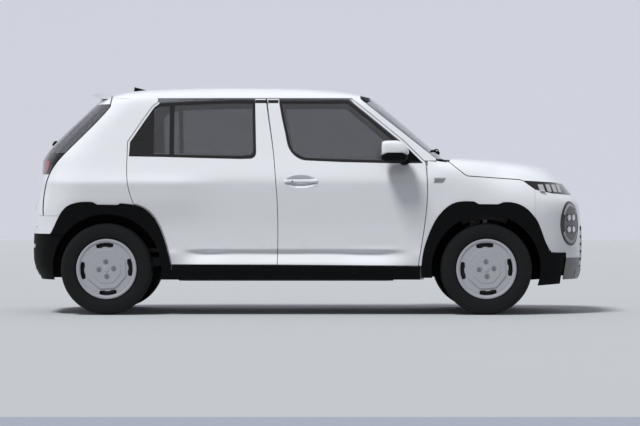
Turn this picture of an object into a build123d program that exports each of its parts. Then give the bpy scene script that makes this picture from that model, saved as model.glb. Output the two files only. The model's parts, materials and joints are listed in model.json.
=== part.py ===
from build123d import *

# Small five-door electric city car, modelled panel by panel.
#
# Frame: +X forward, +Y to the car's left, +Z up, millimetres. The origin is on the ground under the
# middle of the car's length and width. The car stands on its four tyres at Z = 0.
#
# Every outer panel is cut from one skin. body_half(x, z) is the half-width of the car at a station x and
# a height z; the doors, wings, bonnet, bumpers and tailgate all lie on it at a stated depth.

import os
from math import atan2, cos, degrees, radians, sin


# ---------------------------------------------------------------- driving dimensions
length = 3825.0
wheelbase = 2580.0
front_overhang = 700.0
track = 1410.0

nose_x = length / 2
front_axle_x = nose_x - front_overhang
rear_axle_x = front_axle_x - wheelbase

tyre_radius = 311.0
tyre_width = 185.0
rim_radius = 204.0
rim_width = 150.0
hub_bore_radius = 27.0
axle_z = tyre_radius

shut_gap = 5.0  # between two outer panels
seat_gap = 0.3  # between a piece and what carries it
skin_gap = 0.6  # between fixed trim and the panel beside it
clear = 6.0  # behind a door's lip

door_thickness = 95.0
frame_thickness = 45.0  # a door round its window
lip_depth = 30.0  # outer flange of a door
lip_width = 15.0
side_wall = 60.0
cladding_proud = 15.0
cladding_depth = 30.0
arch_radius = 372.0  # wheel opening inside the cladding

sill_bottom_z = 236.0
floor_z = 356.0  # cabin floor, on top of the battery
floor_thickness = 26.0
waist_z = 600.0  # above this the nose rounds in to the bonnet

kingpin_y = 640.0

os.makedirs("parts", exist_ok=True)


def save(piece, name):
    """Write one sub-part as its own node."""
    piece.label = name
    export_step(piece, f"parts/{name}.step")


# ---------------------------------------------------------------- the skin
def ease(t):
    """Smooth step from 0 to 1."""
    t = max(0.0, min(1.0, t))
    return t * t * (3 - 2 * t)


def through(stations, at):
    """Monotone cubic curve through (place, value) stations, straight beyond both ends."""
    places = [p for p, _ in stations]
    values = [v for _, v in stations]
    steps = [b - a for a, b in zip(places, places[1:])]
    slopes = [(b - a) / h for a, b, h in zip(values, values[1:], steps)]
    if at <= places[0]:
        return values[0] + (at - places[0]) * slopes[0]
    if at >= places[-1]:
        return values[-1] + (at - places[-1]) * slopes[-1]

    def tangent(i):
        if i in (0, len(places) - 1):
            return slopes[0] if i == 0 else slopes[-1]
        before, after = slopes[i - 1], slopes[i]
        if before * after <= 0:
            return 0.0
        wide, narrow = 2 * steps[i] + steps[i - 1], steps[i] + 2 * steps[i - 1]
        return (wide + narrow) / (wide / before + narrow / after)

    i = next(k for k in range(len(steps)) if at <= places[k + 1])
    t = (at - places[i]) / steps[i]
    return (
        values[i] * (1 + 2 * t) * (1 - t) ** 2
        + steps[i] * tangent(i) * t * (1 - t) ** 2
        + values[i + 1] * t * t * (3 - 2 * t)
        + steps[i] * tangent(i + 1) * t * t * (t - 1)
    )


# (height, half-width) of the cabin's side: sill, tuck, crease, belt and the glass leaning in
cabin_section = [
    (190, 742), (260, 752), (340, 757), (440, 757), (600, 763), (780, 777), (900, 784),
    (930, 780), (1037, 749), (1120, 725), (1459, 632), (1560, 604),
]
# the same over the front wheels, before the bonnet's shoulder rounds it
wing_section = [(190, 742), (260, 756), (400, 768), (600, 782), (700, 789), (1100, 790)]
# (height, X) of the nose and of the tail on the centre plane
nose_profile = [
    (150, 1842), (219, 1878), (300, 1902), (400, 1911), (541, 1912), (650, 1906), (721, 1899),
    (775, 1879), (821, 1835), (897, 1773), (991, 1677), (1080, 1588),
]
tail_profile = [
    (190, -1830), (270, -1872), (348, -1906), (430, -1912), (543, -1908), (656, -1901), (751, -1885),
    (845, -1860), (960, -1848), (1060, -1838), (1105, -1812), (1438, -1484), (1560, -1364),
]
# (X, height) of the bonnet and of the roof on the centre plane
bonnet_profile = [(700, 1080), (900, 1072), (1051, 1067), (1240, 1059), (1429, 1041), (1672, 1000), (1900, 955)]
roof_profile = [
    (-1500, 1478), (-1345, 1508), (-1187, 1536), (-900, 1552), (-560, 1559), (-200, 1556),
    (148, 1541), (283, 1523), (373, 1505), (463, 1474), (560, 1430),
]
rail_z = 1380.0  # above this the sides round in to the roof
plan_power_nose = 3.0  # how square the corners are from above
plan_power_tail = 3.6
roof_power = 5.0


def squircle(share, power):
    """Half-width left when share of a corner's length is used up."""
    if share >= 1:
        return 0.0
    return (1 - max(0.0, share) ** power) ** (1 / power)


def door_flute(x, z):
    """Valley along the bottom of the doors, then the flare that runs out over the sill."""
    edge = min(447, 355 + (x + 834) * 0.97, 359 + (673 - x) * 0.54)
    valley = -15 * ease((edge - z) / 28)
    flare = 34 * ease((edge - 26 - z) / 85)
    return (valley + flare) * ease((edge - 330) / 60)


def haunch(x, z):
    """Swelling over the rear wheel, with a ledge along its top."""
    return 13 * ease((-x - 590) / 300) * ease((950 - z) / 26) * ease((z - 560) / 300)


def body_half(x, z, cabin=False):
    """Half-width of the body at station x and height z, or of the cabin alone."""
    nose = 0.0 if cabin else ease((x - 800) / 150)
    half = (1 - nose) * through(cabin_section, z)
    if nose > 0:
        rise = max(0.0, z - waist_z) / (through(bonnet_profile, x) - waist_z)
        half += nose * through(wing_section, z) * squircle(rise, 9 - 4.9 * ease((x - 900) / 450))
    half += door_flute(x, z) + haunch(x, z)
    if z > rail_z:
        roof_z = through(roof_profile, max(-1345, min(373, x)) if cabin else x)
        half *= squircle((z - rail_z) / max(1.0, roof_z - rail_z), roof_power)
    if x > front_axle_x:
        reach = max(350.0, through(nose_profile, z) - front_axle_x)
        half *= squircle((x - front_axle_x) / reach, plan_power_nose)
    reach = 545 - 85 * ease((z - waist_z) / 350) - 80 * ease((z - 1100) / 300)
    start = through(tail_profile, z) + reach
    if x < start:
        half *= squircle((start - x) / reach, plan_power_tail)
    return half


def spread(low, high, count):
    """Evenly spaced stations."""
    return [low + (high - low) * i / (count - 1) for i in range(count)]


def bisect(holds, low, high):
    """The last place from low towards high where the test holds."""
    if holds(high):
        return high
    for _ in range(36):
        middle = (low + high) / 2
        if holds(middle):
            low = middle
        else:
            high = middle
    return low


def level_ray(z, origin_x, heading, depth):
    """Point of the skin at height z, from (origin_x, 0) along a compass heading, less a depth."""
    dx, dy = cos(radians(heading)), sin(radians(heading))
    far = bisect(lambda r: abs(r * dy) < body_half(origin_x + r * dx, z), 1.0, 1500.0)
    return origin_x + (far - depth) * dx, (far - depth) * dy


def section_ray(x, origin_z, slope, depth):
    """Point of the skin at station x, from (0, origin_z) up a slope, less a depth."""
    dy, dz = cos(radians(slope)), sin(radians(slope))
    far = bisect(lambda r: abs(r * dy) < body_half(x, origin_z + r * dz), 1.0, 1500.0)
    return (far - depth) * dy, origin_z + (far - depth) * dz


# ---------------------------------------------------------------- shells cut from the skin
def ribbon(outer, inner, marks=None):
    """Face between two curves that share their knots with every other section's."""
    marks = marks or spread(0, 1, len(outer))
    with BuildLine() as line:
        near = add(Edge.make_spline(outer, parameters=marks)).edge()
        far = add(Edge.make_spline(inner, parameters=marks)).edge()
        Line(near @ 0, far @ 0)
        Line(near @ 1, far @ 1)
    make_face(line.edges())


def side_slab(places, levels, near, far, cabin):
    """The right-hand wall between two depths below the skin."""
    middle = (places[0] + places[-1]) / 2

    def half(x, z):
        return body_half(x, z, cabin)

    def wide(x, z):
        return half(x, z) > 0.66 * through(cabin_section, z)

    with BuildPart() as slab:
        for z in levels:
            low = bisect(lambda x: wide(x, z), middle, places[0])
            high = bisect(lambda x: wide(x, z), middle, places[-1])
            fit = (high - low) / (places[-1] - places[0])
            stations = [low + fit * (x - places[0]) for x in places]
            with BuildSketch(Plane.XY.offset(z)):
                ribbon(
                    [(x, near - half(x, z)) for x in stations],
                    [(x, far - half(x, z)) for x in stations],
                    [(x - places[0]) / (places[-1] - places[0]) for x in places],
                )
        loft()
    return slab.part


def end_shell(origin_x, headings, levels, near, far):
    """The nose or the tail, right round both corners, between two depths."""
    with BuildPart() as shell:
        for z in levels:
            with BuildSketch(Plane.XY.offset(z)):
                ribbon(
                    [level_ray(z, origin_x, heading, near) for heading in headings],
                    [level_ray(z, origin_x, heading, far) for heading in headings],
                )
        loft()
    return shell.part


def top_shell(stations, origin_z, slopes, near, far):
    """The bonnet or the roof, from side to side, between two depths."""
    with BuildPart() as shell:
        for x in stations:
            turns = slopes(x) if callable(slopes) else slopes
            with BuildSketch(Plane.YZ.offset(x)):
                ribbon(
                    [section_ray(x, origin_z, slope, near) for slope in turns],
                    [section_ray(x, origin_z, slope, far) for slope in turns],
                )
        loft()
    return shell.part


def trace(path):
    """A closed outline: a point is a corner, a list of points is a smooth run."""
    runs = [item if isinstance(item, list) else [item] for item in path]
    with BuildLine() as line:
        for run, following in zip(runs, runs[1:] + runs[:1]):
            if len(run) > 1:
                Spline(*run)
            if run[-1] != following[0]:
                Line(run[-1], following[0])
    make_face(line.edges())


def grown(path, amount):
    """The outline moved outwards by an amount, runs kept smooth and corners kept sharp."""
    corners = []
    for item in path:
        for point in item if isinstance(item, list) else [item]:
            if not corners or point != corners[-1]:
                corners.append(point)
    if corners[0] == corners[-1]:
        corners.pop()
    ring = list(zip(corners, corners[1:] + corners[:1]))
    turn = 1 if sum(a[0] * b[1] - b[0] * a[1] for a, b in ring) > 0 else -1
    sides = []
    for a, b in ring:
        size = ((b[0] - a[0]) ** 2 + (b[1] - a[1]) ** 2) ** 0.5
        sides.append((turn * (b[1] - a[1]) / size, -turn * (b[0] - a[0]) / size))
    moved_to = {}
    for corner, before, after in zip(corners, sides[-1:] + sides[:-1], sides):
        reach = amount / max(0.35, 1 + before[0] * after[0] + before[1] * after[1])
        moved_to[corner] = (
            corner[0] + reach * (before[0] + after[0]),
            corner[1] + reach * (before[1] + after[1]),
        )
    return [
        [moved_to[point] for point in item] if isinstance(item, list) else moved_to[item]
        for item in path
    ]


def tile(path, grow=0.0, deep=1000.0, both=False):
    """Block behind an outline drawn on the car's right side in X and Z."""
    with BuildPart() as block:
        with BuildSketch(Plane.XZ):
            trace(grown(path, grow) if grow else path)
        extrude(amount=deep, both=both)
    return block.part


def plan(path, low, high):
    """Block between two heights on an outline drawn from above in X and Y."""
    with BuildPart() as block:
        with BuildSketch(Plane.XY.offset(low)):
            trace(path)
        extrude(amount=high - low)
    return block.part


def face_on(path, low, high):
    """Block between two stations on an outline drawn from ahead in Y and Z."""
    with BuildPart() as block:
        with BuildSketch(Plane.YZ.offset(low)):
            trace(path)
        extrude(amount=high - low)
    return block.part


def brick(x, y, z):
    """Box between (low, high) pairs."""
    with BuildPart() as block:
        with Locations(((x[0] + x[1]) / 2, (y[0] + y[1]) / 2, (z[0] + z[1]) / 2)):
            Box(x[1] - x[0], y[1] - y[0], z[1] - z[0])
    return block.part


def drum(centre, radius, low_y, high_y):
    """Cylinder across the car."""
    with BuildPart() as block:
        with BuildSketch(Plane.XZ.offset(-high_y)):
            with Locations((centre[0], centre[1])):
                Circle(radius)
        extrude(amount=high_y - low_y)
    return block.part


def other_side(piece):
    """The same piece on the left."""
    return mirror(piece, about=Plane.XZ)


def grouped(*pieces):
    """Separate solids of one node."""
    return Compound(children=[solid for piece in pieces for solid in piece.solids()])


skin_levels = [
    300, 320, 340, 360, 380, 400, 420, 440, 462, 495, 545, 620, 710, 800, 860, 903, 940, 990, 1060,
    1150, 1250, 1340, 1420, 1475,
]
wing_levels = [190, 250, 320, 400, 490, 580, 670, 760, 830, 890, 935, 970, 1000, 1025, 1048]
cabin_places = [
    -1836, -1770, -1690, -1590, -1470, -1300, -1080, -860, -740, -560, -200, 200, 520, 700, 885,
]
wing_places = [735, 860, 1000, 1130, 1260, 1390, 1500, 1590, 1660, 1720, 1790]


def cabin_wall(near, far):
    """The cabin's side as it is seen."""
    return side_slab(cabin_places, skin_levels, near, far, True)


def wing_wall(near, far):
    """The side ahead of the doors."""
    return side_slab(wing_places, wing_levels, near, far, False)


# ---------------------------------------------------------------- outlines on the side, X and Z
def moved(run, dx, dz=0.0):
    return [(x + dx, z + dz) for x, z in run]


# the line between the two doors
pillar_line = [
    (-283, 1474), (-268, 1347), (-232, 1076), (-222, 954), (-208, 757), (-204, 536), (-208, 342),
]


def beside_pillar(side):
    """The edge of a door at the line between the doors; the gap widens upwards."""
    return [(x + side * (shut_gap / 2 + 2.6 * ease((z - 1037) / 400)), z) for x, z in pillar_line]


front_edge = [(749, 334), (766, 446), (789, 594), (805, 741), (810, 852), (806, 945), (799, 1034)]
door_front_path = [
    front_edge,
    (655, 1178),
    (324, 1450),
    (290, 1471),
    [(x, min(z, 1471)) for x, z in beside_pillar(1)],
]
rear_arch_front = [
    (-1189, 748), (-1097, 712), (-1031, 639), (-979, 521), (-943, 389), (-934, 338),
]
door_rear_path = [
    [(x, min(z, 1471)) for x, z in beside_pillar(-1)],
    [(x + 7, z + 5) for x, z in reversed(rear_arch_front)],
    [(-1189, 775), (-1212, 845), (-1223, 904), (-1228, 1052)],
    (-1226, 1176),
    (-1128, 1323),
    (-1062, 1417),
    (-1021, 1448),
    (-853, 1458),
    (-533, 1471),
]

window_front_path = [
    (-198, 1480),
    [(-196, 1438), (-172, 1311), (-150, 1210), (-132, 1137), (-89, 1080), (-11, 1048)],
    (232, 1037),
    (579, 1029),
    (784, 1030),
    (646, 1168),
    (318, 1438),
    (276, 1480),
]
window_rear_path = [
    (-362, 1480),
    (-360, 1438),
    [(-352, 1111), (-353.5, 1091), (-362, 1074), (-378, 1063), (-400, 1059)],
    (-461, 1058),
    (-752, 1065),
    (-991, 1072),
    (-1218, 1076),
    (-1212, 1173),
    (-1117, 1316),
    (-1053, 1406),
    (-1017, 1437),
    (-1008, 1480),
]
rear_arch_path = [
    (-934, 250),
    list(reversed(rear_arch_front)),
    (-1200, 750),
    (-1272, 757),
    (-1291, 746),
    (-1430, 748),
    [(-1460, 765), (-1508, 767), (-1581, 759), (-1642, 733), (-1702, 655), (-1757, 549)],
    (-1757, 540),
    (-1400, 400),
    (-1400, 250),
]
front_arch_path = [
    (772, 250),
    [(772, 326), (789, 447), (824, 550), (876, 654), (936, 723), (997, 760), (1075, 771), (1127, 769)],
    (1161, 751),
    (1291, 750),
    [(1325, 763), (1386, 763), (1455, 741), (1525, 681), (1576, 594), (1620, 481), (1650, 430)],
    (1681, 417),
    (1763, 416),
    (1754, 376),
    (1728, 246),
    (1724, 207),
    (1561, 196),
    (1530, 240),
    (1300, 300),
    (1100, 250),
]
# the windscreen pillar's leading edge and the tailgate's side edge
screen_edge = [(877, 1062), (381, 1458)]
tailgate_edge = [
    (-1351, 1480), (-1359, 1418), (-1468, 1293), (-1655, 1105), (-1771, 956), (-1805, 850), (-1814, 676),
]


def screen_edge_x(z):
    """Station of the windscreen's side edge at a height."""
    (x0, z0), (x1, z1) = screen_edge
    return x0 + (x1 - x0) * (z - z0) / (z1 - z0)


# ---------------------------------------------------------------- doors
skin_to_95 = cabin_wall(0, door_thickness)
behind_lip = cabin_wall(lip_depth, door_thickness + 30)
behind_frame = cabin_wall(frame_thickness, door_thickness + 30)
glass_bed = cabin_wall(-8, 10)
glass_layer = cabin_wall(3, 9.7)


def door(outline, window, window_low):
    """One door: a flanged skin, a thick lower half and a thin frame round the glass."""
    piece = skin_to_95 & tile(outline)
    piece -= tile(window, -26) & tile([(-1400, 900), (-1400, 1442), (900, 1442), (900, 900)])
    piece -= behind_lip & (tile(outline, 8) - tile(outline, -lip_width))
    piece -= behind_frame & tile([(-1400, window_low), (-1400, 1600), (900, 1600), (900, window_low)])
    piece -= glass_bed & tile(window)
    return piece


def pane(outline, window):
    """Flush window with its black border."""
    return glass_layer & tile(window, -0.4) & tile(outline, -0.6)


handle_place = (-48.0, -814.0, 908.0)  # middle of the round tool that sinks the handle's cup
handle_tool = (128.0, 56.0)
with BuildPart() as cup_tool:
    with BuildSketch(Plane.XY):
        Ellipse(*handle_tool)
        Rectangle(300, 100, align=(Align.CENTER, Align.MAX), mode=Mode.SUBTRACT)
    revolve(axis=Axis.X)
door_front = door(door_front_path, window_front_path, 1012) - Location(handle_place) * cup_tool.part
door_rear = door(door_rear_path, window_rear_path, 1030)
pane_front = pane(door_front_path, window_front_path)
pane_rear = pane(door_rear_path, window_rear_path)
for name, piece in (
    ("door_front", door_front),
    ("door_rear", door_rear),
    ("door_glass_front", pane_front),
    ("door_glass_rear", pane_rear),
):
    save(piece, f"{name}_right")
    save(other_side(piece), f"{name}_left")

# ---------------------------------------------------------------- side frames
frame_path = [
    (screen_edge[0][0] - 7.3, 1062),
    (screen_edge[1][0] - 7.3, 1458),
    (352, 1480),
    (-1342, 1480),
    [(x + 9, z) for x, z in tailgate_edge[1:]],
    (-1805, 672),
    (-1690, 672),
    (-1600, 560),
    (-1600, 380),
    (-1200, 346),
    (880, 346),
    (880, 1000),
]
side_frame = cabin_wall(0, side_wall) & tile(frame_path)
side_frame -= tile(door_front_path, -9)
side_frame -= tile(door_rear_path, -9)
door_recess = cabin_wall(-40, lip_depth + clear)
side_frame -= door_recess & tile(door_front_path, shut_gap)
side_frame -= door_recess & tile(door_rear_path, shut_gap)
side_frame -= cabin_wall(-60, cladding_depth + seat_gap) & tile(rear_arch_path, skin_gap)
beside_wing = [(735, 200), (735, 1047), (820, 1049), (883, 1049), (883, 200)]
side_frame -= wing_wall(-60, 26 + seat_gap) & tile(beside_wing)
side_frame -= wing_wall(-60, cladding_depth + seat_gap) & tile(front_arch_path, skin_gap)
for axle_x in (front_axle_x, rear_axle_x):
    side_frame -= drum((axle_x, axle_z), 384, -900, 0)
post_low = cabin_wall(101, 150) & tile([(-330, 300), (-330, 1040), (-110, 1040), (-90, 300)])
post_high = cabin_wall(52, 100) & tile([(-335, 1036), (-350, 1474), (-200, 1474), (-146, 1036)])
post_web = cabin_wall(lip_depth + clear, 104) & tile(
    [(x - 11, z) for x, z in pillar_line[1:]] + [(x + 11, z) for x, z in reversed(pillar_line[1:])]
)
sill_beam = brick((-930, 768), (-736, -600), (238, 328)) + brick((-960, 790), (-700, -600), (238, 347))
for axle_x in (front_axle_x, rear_axle_x):
    sill_beam -= drum((axle_x, axle_z), 384, -900, 0)
side_frame = side_frame + sill_beam
side_frame = side_frame + post_web + post_low + post_high


def rail_slopes(x):
    low = bisect(lambda a: section_ray(x, 1250, a, 0)[1] < 1475, 4.0, 30.0)
    return spread(low, 25.5, 6)


rail = top_shell(spread(-1344, 359, 12), 1250, rail_slopes, 0, 45)
side_frame = side_frame + mirror(rail, about=Plane.XZ)
side_frame -= brick((-1026, 304), (-700, -580), (1430, 1476.5))
save(grouped(side_frame, other_side(side_frame)), "side_frames")

# ---------------------------------------------------------------- roof and screens
roof = top_shell(spread(-1344, 470, 13), 1250, spread(25.54, 154.46, 21), 0, 28)
roof -= plan([[(386.5, -700), (458.5, 0), (386.5, 700)], (700, 700), (700, -700)], 1300, 1600)
save(roof, "roof_panel")

screen_profile = [(1040, 978), (1105, 903), (1330, 642), (1474, 463), (1500, 430)]


def screen_curve(z, depth):
    """Windscreen across the car at a height: swept back towards both pillars."""
    half = body_half(screen_edge_x(z), z) - 3
    middle = through(screen_profile, z)
    sag = middle - screen_edge_x(z)
    return [
        (middle - sag * abs(share) ** 2.2 - depth, share * half) for share in spread(-1, 1, 13)
    ]


with BuildPart() as windscreen:
    for z in (1061, 1105, 1180, 1260, 1330, 1400, 1455, 1475):
        with BuildSketch(Plane.XY.offset(z)):
            ribbon(screen_curve(z, 0), screen_curve(z, 7))
    loft()
screen = windscreen.part
screen -= plan([[(387, -700), (459, 0), (387, 700)], (100, 700), (100, -700)], 1300, 1600)
save(screen, "windscreen")

# ---------------------------------------------------------------- nose
nose_levels = [
    190, 219, 260, 300, 340, 380, 430, 480, 541, 600, 650, 700, 740, 775, 800, 821, 850, 875, 900, 918,
]
nose_headings = spread(-79, 79, 31)


def nose_wall(near, far):
    return end_shell(1350, nose_headings, nose_levels, near, far)


lamp_place = (1790.0, -562.0, 619.0)
lamp_turn = 33.0  # degrees outwards from straight ahead
lamp_half = (120.0, 152.0)


def lamp_tube(grow):
    """Oval bar along the headlamp's own axis."""
    heading = radians(-lamp_turn)
    plane = Plane(
        origin=(lamp_place[0] - 160 * cos(heading), lamp_place[1] - 160 * sin(heading), lamp_place[2]),
        x_dir=(sin(heading), -cos(heading), 0),
        z_dir=(cos(heading), sin(heading), 0),
    )
    with BuildPart() as bar:
        with BuildSketch(plane):
            Ellipse(lamp_half[0] + grow, lamp_half[1] + grow)
        extrude(amount=320)
    return bar.part


band_path = [
    (1471, 906), (1547, 853), (1672, 827), (1775, 819), (1960, 815), (1960, 893), (1726, 893),
    (1520, 904),
]
bumper_path = [
    (1547, 852.6), (1672, 826.6), (1775, 818.6), (1960, 814.6), (1960, 384), (1768, 384), (1767, 420),
    (1683, 422),
    [(1654, 434), (1624, 484), (1580, 598), (1545, 662)],
]
grille_path = [(-395, 318), (-395, 600), (395, 600), (395, 318)]
outer_nose = nose_wall(0, 24)
inner_nose = nose_wall(0, 50)
front_bumper = outer_nose & tile(bumper_path, both=True)
front_bumper -= face_on(grille_path, 1600, 1960)
for tube in (lamp_tube(seat_gap), other_side(lamp_tube(seat_gap))):
    front_bumper -= tube
grille = inner_nose & face_on(grown(grille_path, -seat_gap), 1600, 1960)
lamps = nose_wall(-3, 55)
headlamp = lamps & lamp_tube(0)
signal_band = lamps & tile(band_path, both=True)
save(grouped(headlamp, other_side(headlamp)), "headlamps")
save(signal_band, "signal_band")
skid = nose_wall(-2, 22) & tile([(1746, 236), (1768, 383), (1960, 383), (1960, 236)], both=True)
skid -= face_on(grown(grille_path, seat_gap), 1600, 1960)

# ---------------------------------------------------------------- wings and bonnet
wing_path = [
    (815, 1046),
    [(x + shut_gap + 1, z) for x, z in reversed(front_edge)][1:],
    (771, 334),
    [(788, 447), (823, 550), (875, 655), (935, 724), (996, 761), (1075, 772), (1127, 770)],
    (1161, 752),
    (1291, 751),
    [(1325, 764), (1386, 764), (1455, 742), (1526, 682)],
    (1544, 662),
    (1546, 853),
    (1470, 906),
    (1443, 915),
    (1085, 940),
    (1058, 955),
    (950, 1044),
]
wing = wing_wall(0, 26) & tile(wing_path)
wing -= tile(front_arch_path, seat_gap)
save(grouped(wing, other_side(wing)), "front_wings")

bonnet_path = [
    (900, 1120), (950, 1050), (1059, 961), (1085, 946), (1443, 921), (1468, 912), (1726, 898),
    (1900, 898), (1900, 1120),
]
bonnet_rear = [(951, -780), (1034, 0), (951, 780)]
bonnet = top_shell(
    spread(950, 1450, 8) + [1510, 1570, 1620, 1665, 1700, 1730, 1755, 1772],
    600, spread(12, 168, 31), 0, 24,
)
bonnet = bonnet & tile(bonnet_path, both=True)
bonnet -= plan([bonnet_rear, (800, 780), (800, -780)], 850, 1150)
hinge_place = (948.0, 600.0, 1044.0)  # the bonnet's pin on the left
lug_path = [
    (939, 1040), (939, 1049), (948, 1054), (985, 1052), (1040, 1040), (1040, 1020), (990, 1030), (948, 1034),
]
for side in (-1, 1):
    low_y, high_y = sorted((side * (hinge_place[1] - 8), side * (hinge_place[1] + 8)))
    lug = tile(lug_path, both=True) & brick((900, 1100), (low_y, high_y), (1000, 1058))
    lug -= top_shell(spread(960, 1100, 4), 600, spread(30, 150, 13), -60, 12)
    bonnet = bonnet + lug
    bonnet -= drum((hinge_place[0], hinge_place[2]), 4 + seat_gap, low_y - 1, high_y + 1)
save(bonnet, "bonnet")

# ---------------------------------------------------------------- tail
tail_levels = [
    200, 245, 300, 348, 400, 450, 543, 600, 656, 710, 751, 800, 845, 900, 950, 1000, 1060, 1090, 1120,
    1180, 1250, 1330, 1400, 1438, 1475,
]
tail_headings = spread(101, 259, 31)


def tail_wall(near, far):
    return end_shell(-900, tail_headings, tail_levels, near, far)


hatch_path = [list(reversed(tailgate_edge[1:])), tailgate_edge[0], (-2000, 1480), (-2000, 676)]


def hatch_zone(low, high):
    return tile([(-2000, low), (-2000, high), (-1200, high), (-1200, low)], both=True)


whole_hatch = tile(hatch_path, both=True)
hatch = tail_wall(0, 50) & whole_hatch
light_zone = hatch_zone(956, 1102)
glass_zone = hatch_zone(1102, 1436)
hatch -= tail_wall(-10, 26) & light_zone
hatch -= tail_wall(-10, 6) & glass_zone
hatch -= face_on([(-480, 1150), (-400, 1395), (400, 1395), (480, 1150)], -2000, -1300)
hatch &= hatch_zone(600, 1475)
top_bar = brick((-1470, -1353), (-500, 500), (1437, 1488)) - tail_wall(-300, 5)
hatch = hatch + (top_bar & tail_wall(5, 140))
save(hatch, "tailgate")
tail_lamps = tail_wall(-2, 25.4) & tile(grown(hatch_path, -0.4), both=True) & hatch_zone(957, 1101)
save(tail_lamps, "tail_lamp_band")
rear_glass = tail_wall(0, 5.4) & whole_hatch & hatch_zone(1102.5, 1435.5)
save(rear_glass, "tailgate_glass")

rear_bumper_path = [(-1757, 549.6), (-1690, 670), (-2000, 670), (-2000, 549.6)]
rear_bumper = tail_wall(0, 26) & tile(rear_bumper_path, both=True)
rear_bumper -= tile(rear_arch_path, seat_gap, both=True)
save(grouped(front_bumper, rear_bumper), "bumper_covers")
rear_low = tail_wall(0, 26) & tile([(-1600, 236), (-1600, 548), (-2000, 548), (-2000, 236)], both=True)
rear_low -= drum((rear_axle_x, axle_z), arch_radius, -1000, 1000)

# ---------------------------------------------------------------- lower cladding and liners
sill_path = [
    (-1000, sill_bottom_z), (-1000, 300 - seat_gap), (-925, 300 - seat_gap), (-925, 337.6), (764, 326.6),
    (764, sill_bottom_z),
]
rear_arch = cabin_wall(-cladding_proud, cladding_depth) & tile(grown(rear_arch_path, -0.3))
rear_arch -= drum((rear_axle_x, axle_z), arch_radius, -1000, 0)
rear_arch -= tile([(-2000, 0), (-2000, 549), (-1400, 549), (-1400, 0)])
rear_arch -= tile([(-1400, 0), (-1400, 300), (-900, 300), (-900, 0)])
front_arch = wing_wall(-cladding_proud, cladding_depth) & tile(grown(front_arch_path, -0.3))
front_arch -= drum((front_axle_x, axle_z), arch_radius, -1000, 0)
sill_section = [(-736.3, 238), (-752, 238), (-768, 256), (-779, 300), (-779, 345), (-736.3, 345)]
sill = face_on(sill_section, -1000, 764) & tile(sill_path)
sill -= drum((rear_axle_x, axle_z), arch_radius, -1000, 0)
save(
    grouped(
        rear_arch, other_side(rear_arch), front_arch, other_side(front_arch), sill, other_side(sill),
        rear_low, grille,
    ),
    "lower_cladding",
)


def liner(axle_x, inner_y, low_z):
    """Half tunnel over one wheel with its inner wall, open where the axle passes."""
    with BuildPart() as shell:
        with BuildSketch(Plane.XZ.offset(inner_y)):
            with Locations((axle_x, axle_z)):
                Circle(382)
        extrude(amount=735 - inner_y)
        with BuildSketch(Plane.XZ.offset(inner_y + 5)):
            with Locations((axle_x, axle_z)):
                Circle(376)
        extrude(amount=760 - inner_y, mode=Mode.SUBTRACT)
    piece = shell.part
    piece -= brick((axle_x - 500, axle_x + 500), (-1000, 0), (-200, low_z))
    piece -= brick((axle_x - 130, axle_x + 130), (-600, 0), (low_z - 1, 600))
    return piece


strut_top_z = 747.0
front_liner = liner(front_axle_x, 424, 250)
front_liner -= brick((front_axle_x - 94, front_axle_x + 94), (-622, -400), (600, 720))
tower = brick((front_axle_x - 100, front_axle_x + 100), (-628, -424), (620, strut_top_z + 5))
tower -= brick((front_axle_x - 94, front_axle_x + 94), (-622, -429), (600, strut_top_z))
tower -= drum((front_axle_x, axle_z), 376, -760, -400)
front_liner = front_liner + tower
rear_liner = liner(rear_axle_x, 585, 250)
rear_liner -= brick((rear_axle_x - 200, rear_axle_x + 400), (-650, -500), (200, 460))
rear_liner -= brick((-1800, -1690), (-760, -700), (200, 320))
front_liner -= wing_wall(-60, cladding_depth + seat_gap)
rear_liner -= cabin_wall(-60, cladding_depth + seat_gap)
rear_liner -= tail_wall(-60, 26 + seat_gap)
save(
    grouped(front_liner, other_side(front_liner), rear_liner, other_side(rear_liner)), "arch_liners"
)
save(skid, "front_skid_plate")

# ---------------------------------------------------------------- floor, battery and drive
boot_path = [(-1880, 583), (-1000, 583), (-1000, -583), (-1880, -583)]
boot_wall = brick((-1796, -1772), (-520, 520), (440, 660))
bulkhead = brick((815, 829), (-700, 700), (270, 1033)) - wing_wall(-80, 30.3) - cabin_wall(-80, 60.3)
bulkhead -= brick((800, 840), (-740, -599), (200, 346.8)) + brick((800, 840), (599, 740), (200, 346.8))
floor_low_z = floor_z - floor_thickness
floor = brick((-983, 816), (-598, 598), (floor_low_z, floor_z)) + plan(boot_path, 424, 448) + boot_wall
floor = floor + brick((-1012, -982), (-583, 583), (floor_low_z, 448)) + brick((820, 1700), (-420, 420), (262, 288))
floor -= tail_wall(-80, 26 + seat_gap)
floor = floor + (bulkhead - other_side(wing_wall(-80, 30.3)) - other_side(cabin_wall(-80, 60.3)))
save(floor, "floor_pan")

battery_bottom_z = 224.0
with BuildPart() as battery:
    with Locations((-150, 0, battery_bottom_z)):
        Box(
            1500, 1080, floor_low_z - seat_gap - battery_bottom_z,
            align=(Align.CENTER, Align.CENTER, Align.MIN),
        )
    chamfer(battery.edges().filter_by(Axis.Z), 60)
    chamfer(battery.faces().sort_by(Axis.Z)[0].edges(), 14)
save(battery.part, "battery_pack")

with BuildPart() as drive:
    with Locations((1240, 0, 468.3)):
        Box(460, 560, 360)
    chamfer(drive.edges(), 40)
save(drive.part, "drive_motor")

with BuildPart() as subframe:
    with Locations((1212.5, 0, 236)):
        Box(420, 760, 50)
    for side in (-1, 1):
        with BuildSketch(Plane.XY.offset(216)):
            with BuildLine():
                Polyline(
                    (1040, side * 370), (1385, side * 370), (1252, side * 665), (1173, side * 665), close=True
                )
            make_face()
        extrude(amount=34)
save(subframe.part, "front_subframe")

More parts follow.
